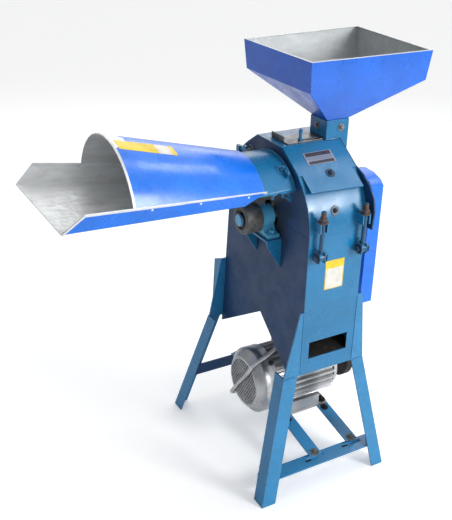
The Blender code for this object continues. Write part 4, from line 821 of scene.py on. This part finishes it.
def bearing_details():
    """Hold-down bolts, nuts under the shelf, grease nipple and seals of each bearing."""
    nipple = [(0.0045, 0.0), (0.0045, 0.004), (0.0026, 0.0046), (0.0026, 0.008), (0.0034, 0.0092),
              (0.0020, 0.0110)]
    heads, nuts = [], []
    fine = bmesh.new()
    seals = bmesh.new()
    for side in ("left", "right"):
        low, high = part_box(f"{side}_bearing")
        x = (low.x + high.x) / 2
        for y in (-0.043, 0.043):
            heads.append((f"{side}_bearing", Vector((x, SHAFT.y + y, high.z + 0.05)), -Z))
            nuts.append((f"{side}_bearing_bracket", Vector((x, SHAFT.y + y, low.z - 0.10)), Z))
        turned(fine, Vector((x, SHAFT.y, high.z - 0.0005)), Z, nipple, 12)
        for face, way in ((low.x, -X), (high.x, X)):
            ringed(seals, Vector((face, SHAFT.y, SHAFT.z)) - way * 0.0004, way, 0.0190, 0.0262, 0.0012)
    bolts("bearing_bolts", heads, bearing_paint, "frame", "teal_paint", 0.015)
    bolts("bearing_nuts", nuts, grimy_shaded_teal, "frame", "teal_paint", 0.015, stud=0.009)
    piece("grease_nipples", fine, bright, "frame", "bare_steel")
    piece("bearing_seals", seals, rubber, "frame", "belt_rubber")


def ringed(bm, base, axis, inner, outer, thick):
    """A flat ring with an open middle."""
    u, v = across(axis)
    section = ((inner, 0.0), (outer, 0.0), (outer, thick), (inner, thick))
    rings = [circle(bm, base + axis * height, u, v, radius, 32) for radius, height in section]
    skin(bm, rings + rings[:1], ends=False)


def rotor_details():
    """Painted end of the shaft, and the ring's key."""
    end = Vector((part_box("main_shaft")[0].x - 0.0006, SHAFT.y, SHAFT.z))
    bm = bmesh.new()
    turned(bm, end, X, [(0.0150, 0.0), (0.0178, 0.0022), (0.0178, 0.0055)], 32)
    piece("shaft_end_cap", bm, bearing_paint, "rotor", "teal_paint")
    key = Vector((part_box("shaft_end_ring")[0].x - 0.0006, SHAFT.y, SHAFT.z + 0.0200))
    bm = bmesh.new()
    block(bm, key, Y, Z, X, (0.008, 0.006, 0.006))
    piece("ring_key", bm, dark_iron, "rotor", "rusty_iron", 0.0004)


def motor_details():
    """Screws of the fan cover, end bell, terminal box and foot."""
    rim_at = MOTOR_AXIS + X * (FAN_HIGH.x - 0.008)
    bell_at = MOTOR_AXIS + X * (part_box("motor_end_bell")[1].x + 0.01)
    ways = [spoke(degrees, 360) for degrees in (35, 125, 215, 305)]
    rim = [("motor_fan_cover", rim_at + way * FAN_RADIUS * 1.5, -way) for way in ways]
    bell = [("motor_end_bell", bell_at + way * FAN_RADIUS * 0.70, -X) for way in ways]
    bolts("motor_screws", rim, bright, "frame", "bare_steel", 0.007)
    bolts("bell_screws", bell, bright, "frame", "bare_steel", 0.009)
    tilt = math.atan(MOTOR_SLOPE)
    up = Vector((0.0, -math.sin(tilt), math.cos(tilt)))
    back = Vector((0.0, math.cos(tilt), math.sin(tilt)))
    box_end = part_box("terminal_box")[1].x
    lid = [("terminal_box", MOTOR_AXIS + X * x + back * y + up * 0.20, -up)
           for x in (box_end - 0.087, box_end - 0.008) for y in (-0.037, 0.037)]
    bolts("terminal_box_screws", lid, bright, "frame", "bare_steel", 0.006, washer=False)
    foot = [("motor_housing", MOTOR_AXIS + X * (MIDDLE + x) + back * y - up * 0.075, -up)
            for x in (-0.024, 0.127) for y in (-0.085, 0.085)]
    bolts("motor_foot_bolts", foot, dark_iron, "frame", "rusty_iron", 0.013, stud=0.008)


def guard_details():
    """Screws that hold the guard, along its front and back edges."""
    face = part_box("belt_guard")[1].x + 0.1
    places = ((-0.045, 0.50), (0.095, 0.50), (-0.045, 0.83), (0.050, 0.83), (-0.048, 0.67))
    spots = [("belt_guard", Vector((face, SHAFT.y + y, z)), -X) for y, z in places]
    bolts("guard_screws", spots, bright, "frame", "bare_steel", 0.008)


def lead_end():
    """Clip that holds the supply lead to the fan cover, and the boot on its end."""
    sheath_radius = 0.0055
    end = furthest("motor_lead", 0.6, 0.0, -1.0) + Z * sheath_radius
    bm = bmesh.new()
    turned(bm, end - X * 0.010, X, [(0.0058, 0.0), (0.0066, 0.001), (0.0066, 0.014), (0.0050, 0.017)])
    piece("lead_boot", bm, rubber, "frame", "belt_rubber")
    outward = Vector((0.0, end.y - MOTOR_SHAFT.y, end.z - MOTOR_SHAFT.z)).normalized()
    beside = X.cross(outward)
    held = end - X * 0.026
    bm = bmesh.new()
    turned(bm, held, X, [(0.0056, 0.0), (0.0066, 0.0004), (0.0066, 0.0096), (0.0056, 0.0100)])
    drop = (held - MOTOR_SHAFT).dot(outward) - FAN_RADIUS - 0.0006
    block(bm, held + X * 0.005 + beside * 0.0110 - outward * drop, X, beside, outward, (0.010, 0.014, 0.0012))
    piece("lead_clip", bm, bright, "frame", "bare_steel", 0.0002)
    screw = held + X * 0.005 + beside * 0.0130 + outward * 0.05
    bolts("lead_clip_screw", [("motor_fan_cover", screw, -outward)], bright, "frame", "bare_steel", 0.006)


# ==== fan cover
def perforated_fan_cover():
    """Spun fan cover with a finely perforated face."""
    edge, thick = FAN_RADIUS, 0.0012
    profile = [(edge, FAN_HIGH.x - FAN_LOW.x), (edge, 0.024), (edge - 0.0015, 0.020),
               (edge - 0.021, 0.0025), (edge - 0.0235, 0.0), (0.071, 0.0), (0.0705, 0.0016)]
    bm = bmesh.new()
    rings = [circle(bm, MOTOR_AXIS + X * (FAN_LOW.x + depth), Y, Z, r, 96) for r, depth in profile]
    skin(bm, rings, ends=False)
    perforated(bm, MOTOR_AXIS + X * (FAN_LOW.x + thick), reach=0.0715, pitch=0.0094, hole=0.0038)
    obj = piece("fan_cover", bm, polished, "frame", "cast_aluminium")
    sheet = obj.modifiers.new("sheet", "SOLIDIFY")
    sheet.thickness = thick
    sheet.offset = -1.0
    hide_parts("motor_fan_cover")


def perforated(bm, centre, reach, pitch, hole):
    """A flat sheet of six-sided cells, each with a round hole of 12 sides."""
    cells = int(reach / pitch) + 2
    for row in range(-cells, cells + 1):
        for column in range(-cells, cells + 1):
            spot = centre + Y * pitch * (column + 0.5 * (row % 2)) + Z * pitch * 0.866 * row
            if (spot - centre).length > reach:
                continue
            inner, outer = [], []
            for k in range(12):
                far = pitch / 2 / math.cos(math.pi / 6) if k % 2 else pitch / 2
                inner.append(bm.verts.new(spot + spoke(k, 12) * hole))
                outer.append(bm.verts.new(spot + spoke(k, 12) * far))
            for k in range(12):
                n = (k + 1) % 12
                bm.faces.new((inner[k], inner[n], outer[n], outer[k]))
    bmesh.ops.remove_doubles(bm, verts=bm.verts, dist=1e-5)


def spoke(k, sides):
    """A direction square to X, turned by k of so many parts of a full turn."""
    a = 2 * math.pi * k / sides
    return Vector((0.0, math.cos(a), math.sin(a)))


# ==== sheet edges and welds
SHEET = 0.0015


def trough_hems():
    """Folded bare edges of the trough."""
    bm = bmesh.new()
    for side in (-1, 1):
        rim_out = furthest("trough", 0.0, side * 2.0, 1.0)
        rim_in = furthest("trough", 3.0, side * 0.6, 1.0)
        tip = furthest("trough", -1.0, side * 0.8, -0.5)
        along = (rim_in - rim_out).normalized()
        fall = (tip - rim_out) - along * (tip - rim_out).dot(along)
        fall.normalize()
        wall = along.cross(fall).normalized()
        wall = wall if wall.y * side < 0 else -wall
        half = wall * SHEET / 2
        hem(bm, [rim_in + half, rim_out + half], fall, wall)
        edge = (tip - rim_out).normalized()
        inward = (along - edge * along.dot(edge)).normalized()
        hem(bm, [rim_out + half, tip + half], inward, wall)
    tips = [furthest("trough", -1.0, side * 0.8, -0.5) for side in (-1, 1)]
    floor_way = furthest("trough", 2.0, -0.6, -1.0) - tips[0]
    floor_way.y = 0.0
    floor_way.normalize()
    up = Y.cross(floor_way).normalized()
    up = up if up.z > 0 else -up
    hem(bm, [t + up * SHEET / 2 for t in tips], floor_way, up)
    piece("trough_hems", bm, zinc, "hood", "azure_paint", 0.0005)


def cover_hem():
    """Folded bare edge of the trough cover's open end."""
    points = [v.co.copy() for v in NODES["trough_cover"].data.vertices]
    crown = max(points, key=lambda p: p.z * 0.2 - p.x)
    ring = [p for p in points if abs(p.x - crown.x) < 0.0005]
    middle = Vector((crown.x, SHAFT.y, min(p.z for p in ring)))
    outer = []
    for p in sorted(ring, key=lambda p: -(p - middle).length):
        ray = (p - middle).normalized()
        if all(ray.angle((q - middle).normalized()) > math.radians(2.5) for q in outer):
            outer.append(p)
    arch = sorted(outer, key=lambda p: math.atan2(p.z - middle.z, p.y - middle.y))
    out = [(p - middle).normalized() for p in arch]
    bm = bmesh.new()
    hem(bm, [p - n * SHEET / 2 for p, n in zip(arch, out)], X, out, 0.006)
    piece("cover_hem", bm, zinc, "hood", "azure_paint")


def trough_rivets():
    """Rivets that join the cover's feet and a seam to the trough's walls."""
    bm = bmesh.new()
    for x in (-0.556, -0.543):
        for side in (-1, 1):
            rivet(bm, *seat("trough", at(x, 0.0, 0.948), Y * side), 0.0034)
    low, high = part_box("trough_cover")
    for x in (low.x + 0.06, (low.x + high.x) / 2, high.x - 0.05):
        for side in (-1, 1):
            start = Vector((x, SHAFT.y + side * 0.5, rim_height(x) - 0.010))
            rivet(bm, *seat("trough", start, Y * -side), 0.0032)
    piece("trough_rivets", bm, zinc, "hood", "azure_paint")


def rim_height(x):
    """Height of the trough's rim at a place along it."""
    rim_out = furthest("trough", 0.0, -2.0, 1.0)
    rim_in = furthest("trough", 3.0, -0.6, 1.0)
    share = (x - rim_out.x) / (rim_in.x - rim_out.x)
    return rim_out.z + (rim_in.z - rim_out.z) * share


def stand_welds():
    """Weld beads of the front legs and the bearing brackets."""
    bm = bmesh.new()
    wall = (RIGHT - LEFT) / 2
    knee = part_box("front_panel")[0].z
    for side, hand, reach in ((-1, "left", 0.051), (1, "right", 0.040)):
        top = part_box(f"front_{hand}_leg")[1].z
        heights = (knee + 0.006, 0.5 * (top + knee), top - 0.006)
        bead(bm, [at(side * (wall + 0.0002), -0.1921, z) for z in heights], 0.0018)
        outer = side * (wall + reach)
        bead(bm, [at(outer, -0.1924, knee), at(outer - side * 0.036, -0.1924, knee)], 0.0026)
        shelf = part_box(f"{hand}_bearing_bracket")[1].z + 0.001
        bead(bm, [at(side * (wall + 0.001), y, shelf) for y in (-0.062, 0.062)], 0.0026)
    piece("stand_welds", bm, leg_paint, "frame", "teal_paint")


def hood_welds():
    """Weld beads round the chute's foot and over the inlet duct's mouth."""
    bm = bmesh.new()
    low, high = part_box("chute")
    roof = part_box("hood_shell")[1]
    foot = ((low.x, high.y + 0.0005), (low.x - 0.0004, high.y), (low.x - 0.0004, low.y),
            (low.x, low.y - 0.0004), (roof.x - 0.004, low.y - 0.0004))
    bead(bm, [Vector((x, y, roof.z + 0.0008)) for x, y in foot], 0.0024)
    steps = 24
    above = [Vector((LEFT - 0.0035, SHAFT.y - 0.112 + 0.224 * k / steps, 1.3)) for k in range(steps + 1)]
    bead(bm, [seat("inlet_duct", p, -Z)[0] for p in above], 0.0024)
    piece("hood_welds", bm, teal, "hood", "teal_paint")


for add in (nameplate, stickers, hood_fasteners, duct_lugs, gate_wing, latch_details, stand_fasteners,
            bearing_details, rotor_details, motor_details, guard_details, lead_end, perforated_fan_cover,
            trough_hems, cover_hem, trough_rivets, stand_welds, hood_welds):
    add()

# ==== studio
FLOOR_GLOW = 0.30       # lifts the floor that the camera sees, and lights nothing
BACKDROP = 0.90         # what the camera sees of the world, near the tone of the far floor
BODY = Vector((MIDDLE, SHAFT.y, 0.75))
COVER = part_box("trough_cover")
COVER_CROWN = Vector(((COVER[0].x * 3 + COVER[1].x) / 4, SHAFT.y - 0.05, COVER[1].z))


def studio_floor():
    """A wide pale floor."""
    mat, tree, shader, place = material("studio_floor")
    tone = mix(tree, noise(tree, place, 2.0, 4.0), linear(FLOOR_TONE), tinted(FLOOR_TONE, 1.0, -4))
    roughness = between(tree, noise(tree, place, 9.0), 0.0, 1.0, 0.6, 0.8)
    apply_nodes(tree, shader, tone, roughness, noise(tree, place, 60.0), 0.05)
    seen = node(tree, "LightPath").outputs["Is Camera Ray"]
    tree.links.new(times(tree, seen, FLOOR_GLOW), shader.inputs["Emission Strength"])
    shader.inputs["Emission Color"].default_value = linear(FLOOR_TONE)
    bm = bmesh.new()
    bmesh.ops.create_circle(bm, cap_ends=True, segments=64, radius=30.0)
    floor = solid("floor", bm, mat)
    floor.location.z = -0.0005


def softbox(name, direction, distance, size, watts, target):
    """An area light looking at a target."""
    light = bpy.data.lights.new(name, "AREA")
    light.shape = "RECTANGLE"
    light.size, light.size_y = size
    light.energy = watts
    lamp = placed(name, light)
    lamp.location = target + Vector(direction).normalized() * distance
    lamp.rotation_euler = (target - lamp.location).to_track_quat("-Z", "Y").to_euler()


def studio_world():
    """A pale world, brighter on one side, and even where the camera sees it."""
    world = bpy.data.worlds.new("studio")
    SCENE.world = world
    world.use_nodes = True
    tree = world.node_tree
    way = node(tree, "TexCoord").outputs["Generated"]
    aside = vectors(tree, "DOT_PRODUCT", way, (0.95, -0.20, -0.22), "Value")
    glow = between(tree, aside, -0.75, 0.3, 0.32, 0.95)
    seen = node(tree, "LightPath").outputs["Is Camera Ray"]
    glow = node(tree, "Mix", {0: seen, 2: glow, 3: BACKDROP}).outputs[0]
    background = tree.nodes["Background"].inputs
    tree.links.new(glow, background["Strength"])
    background["Color"].default_value = (0.98, 0.99, 1.0, 1.0)


studio_floor()
softbox("key", (0.45, -0.80, 0.38), 3.0, (0.8, 1.0), 54.0, BODY)
softbox("top", (0.745, 0.05, 0.66), 2.3, (0.5, 0.7), 7.0, COVER_CROWN)
softbox("back", (0.45, 0.78, 0.50), 3.6, (3.2, 1.8), 28.0, BODY)
studio_world()

# ==== camera
YAW, PITCH, ROLL = 29.8313, 25.857, 1.4533
WIDE, TALL = 452, 520
FOCAL = 816.708         # in widths of a pixel, with TALL of them along the tall side
CENTRE = (227.46, 257.60)
EYE = Vector((-1.0162, -1.78295, 1.6647))
SENSOR = 36.0
yaw, pitch, roll = (math.radians(a) for a in (YAW, PITCH, ROLL))
forward = Vector((math.sin(yaw) * math.cos(pitch), math.cos(yaw) * math.cos(pitch), -math.sin(pitch)))
right = Vector((math.cos(yaw), -math.sin(yaw), 0.0))
down = forward.cross(right)
screen_x = right * math.cos(roll) - down * math.sin(roll)
screen_y = right * math.sin(roll) + down * math.cos(roll)
lens = bpy.data.cameras.new("camera")
lens.sensor_width = SENSOR
lens.lens = FOCAL * SENSOR / TALL
lens.shift_x = (WIDE / 2 - CENTRE[0]) / TALL
lens.shift_y = (CENTRE[1] - TALL / 2) / TALL
lens.clip_end = 100.0
camera = placed("camera", lens)
axes = Matrix((screen_x, -screen_y, -forward)).transposed()
camera.matrix_world = Matrix.Translation(EYE) @ axes.to_4x4()
SCENE.camera = camera
SCENE.view_settings.view_transform = "Standard"
